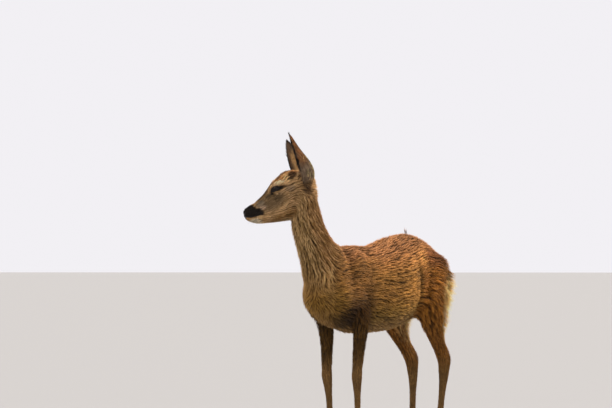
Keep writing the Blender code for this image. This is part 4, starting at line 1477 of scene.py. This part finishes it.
def hideLinks(tree):
    # strands of 1 mm as bump along the body; on bare leather pebbles, and a damp, smoother surface
    bareLeather = nodeOf(tree, "ShaderNodeAttribute", attribute_name="bare").outputs["Fac"]
    strand = nodeOf(tree, "ShaderNodeAttribute", attribute_name="strand").outputs["Vector"]
    place = nodeOf(tree, "ShaderNodeTexCoord").outputs["Object"]
    strands = nodeOf(tree, "ShaderNodeTexNoise", {"Vector": strand}, Scale=900.0, Detail=3.0, Roughness=0.6)
    pebbles = nodeOf(tree, "ShaderNodeTexVoronoi", {"Vector": place}, Scale=900.0)
    parts = {"Factor": bareLeather, "A": strands.outputs["Fac"], "B": pebbles.outputs["Distance"]}
    relief = nodeOf(tree, "ShaderNodeMix", parts).outputs["Result"]
    bump = nodeOf(tree, "ShaderNodeBump", {"Height": relief}, Strength=0.5, Distance=0.0006)
    rough = nodeOf(tree, "ShaderNodeMapRange", {"Value": bareLeather}, To_Min=0.78, To_Max=0.34)
    return ownTone(tree) | {"Roughness": rough.outputs["Result"], "Normal": bump.outputs["Normal"]}


def hornLinks(tree):
    # growth lines across the hoof as bump
    place = nodeOf(tree, "ShaderNodeTexCoord").outputs["Object"]
    wave = {"bands_direction": "Z", "Scale": 220.0, "Distortion": 2.0}
    grain = nodeOf(tree, "ShaderNodeTexWave", {"Vector": place}, **wave).outputs["Fac"]
    bump = nodeOf(tree, "ShaderNodeBump", {"Height": grain}, Strength=0.25, Distance=0.0004)
    return {"Normal": bump.outputs["Normal"]}


def alpha(code):
    return (*linearColour(code), 1)


# Dry guard hair: each tuft's own tone, a soft gleam, no mirror.
hairShine = {"Roughness": 0.72, "Sheen_Weight": 0.03, "Sheen_Roughness": 0.4, "Specular_IOR_Level": 0.12}
hair = newMaterial("red-brown deer hair, dry guard hair", ownTone, **hairShine)
# Short flat hair on hide; the nose and lips are bare leather, damp and dark.
hide = newMaterial("short deer hair on hide, bare leather nose", hideLinks, Specular_IOR_Level=0.35)
# Wet eyeball: brown iris and a lying pupil under a clear, mirror-smooth coat.
eyeShine = {"Roughness": 0.35, "Specular_IOR_Level": 0.06, "Coat_Weight": 0.32, "Coat_Roughness": 0.03}
eyeWet = newMaterial("dark brown deer eye, wet", ownTone, **eyeShine)
# Bare lid skin: dark, slightly moist.
lidShine = {"Base_Color": alpha("#0c0806"), "Roughness": 0.6, "Specular_IOR_Level": 0.2}
lidSkin = newMaterial("dark lid skin, satin", **lidShine)
# Hoof horn: near-black keratin, satin.
horn = newMaterial("black hoof horn, satin", hornLinks, Base_Color=alpha("#221b16"), Roughness=0.38)
# A matt floor gives only a soft shadow.
matt = newMaterial("pale studio floor, matt", Base_Color=alpha("#a9abae"), Roughness=0.9)


def dress(piece, material, nodes=()):
    piece.data.materials.clear()
    piece.data.materials.append(material)
    if nodes:
        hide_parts(*nodes)
    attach(piece, "root")


flesh = ["head", "neck", "trunk", "tail", "ear_left", "ear_right"]
for end, upper in (("fore", "arm"), ("hind", "thigh")):
    flesh += [f"{end}_{sideName}_{part}" for sideName in sides for part in (upper, "cannon", "pastern")]
dress(skin, hide, flesh)
for pieceName, piece in coatPieces.items():
    dress(piece, hair)
for sideName, piece in eyeBalls.items():
    dress(piece, eyeWet, ["eye_" + sideName])
dress(lids, lidSkin)
for piece in bristlePieces:
    dress(piece, hair)

for nodeName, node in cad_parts.items():
    if "hoof" in nodeName or "dewclaw" in nodeName:
        node.data.materials.clear()
        node.data.materials.append(horn)

# ---- floor, light and camera

lightForm = {
    "sky": ("#f4f2f6", 0.98),
    # colour, strength, angle of the source, turn in degrees
    "key": ("#fffaf2", 1.0, 40.0, (46.0, 0.0, -10.0)),
    "rim": ("#ffe8c6", 2.8, 22.0, (-58.0, 0.0, -16.0)),
}
bpy.ops.mesh.primitive_plane_add(size=1600)
floor = bpy.context.object
floor.name = "floor"
floor.data.materials.append(matt)

world = bpy.data.worlds.new("studio")
world.use_nodes = True
skyTone, skyPower = lightForm["sky"]
background = world.node_tree.nodes["Background"].inputs
background["Color"].default_value = alpha(skyTone)
background["Strength"].default_value = skyPower
bpy.context.scene.world = world


def sunLight(name):
    tone, power, angle, turn = lightForm[name]
    lamp = bpy.data.lights.new(name, "SUN")
    lamp.color = tuple(linearColour(tone))
    lamp.energy = power
    lamp.angle = math.radians(angle)
    newObject(name, lamp).rotation_euler = [math.radians(a) for a in turn]


sunLight("key")
sunLight("rim")

cameraForm = {"azimuth": 35.0, "distance": 20.6, "height": 0.57, "aim": (-0.1473, 0.7656), "lens": 400.0}
turn = math.radians(cameraForm["azimuth"])
rightWay = Vector((math.cos(turn), math.sin(turn), 0))
viewWay = Vector((-math.sin(turn), math.cos(turn), 0))
aside, high = cameraForm["aim"]
target = rightWay * aside + Vector((0, 0, high))
spot = rightWay * aside - viewWay * cameraForm["distance"] + Vector((0, 0, cameraForm["height"]))
camera = newObject("camera", bpy.data.cameras.new("camera"))
camera.data.lens = cameraForm["lens"]
camera.data.sensor_width = 36.0
camera.data.clip_end = 3000.0
camera.location = spot
camera.rotation_euler = (target - spot).to_track_quat("-Z", "Y").to_euler()
bpy.context.scene.camera = camera
bpy.context.scene.view_settings.view_transform = "Standard"

print("scene ready")
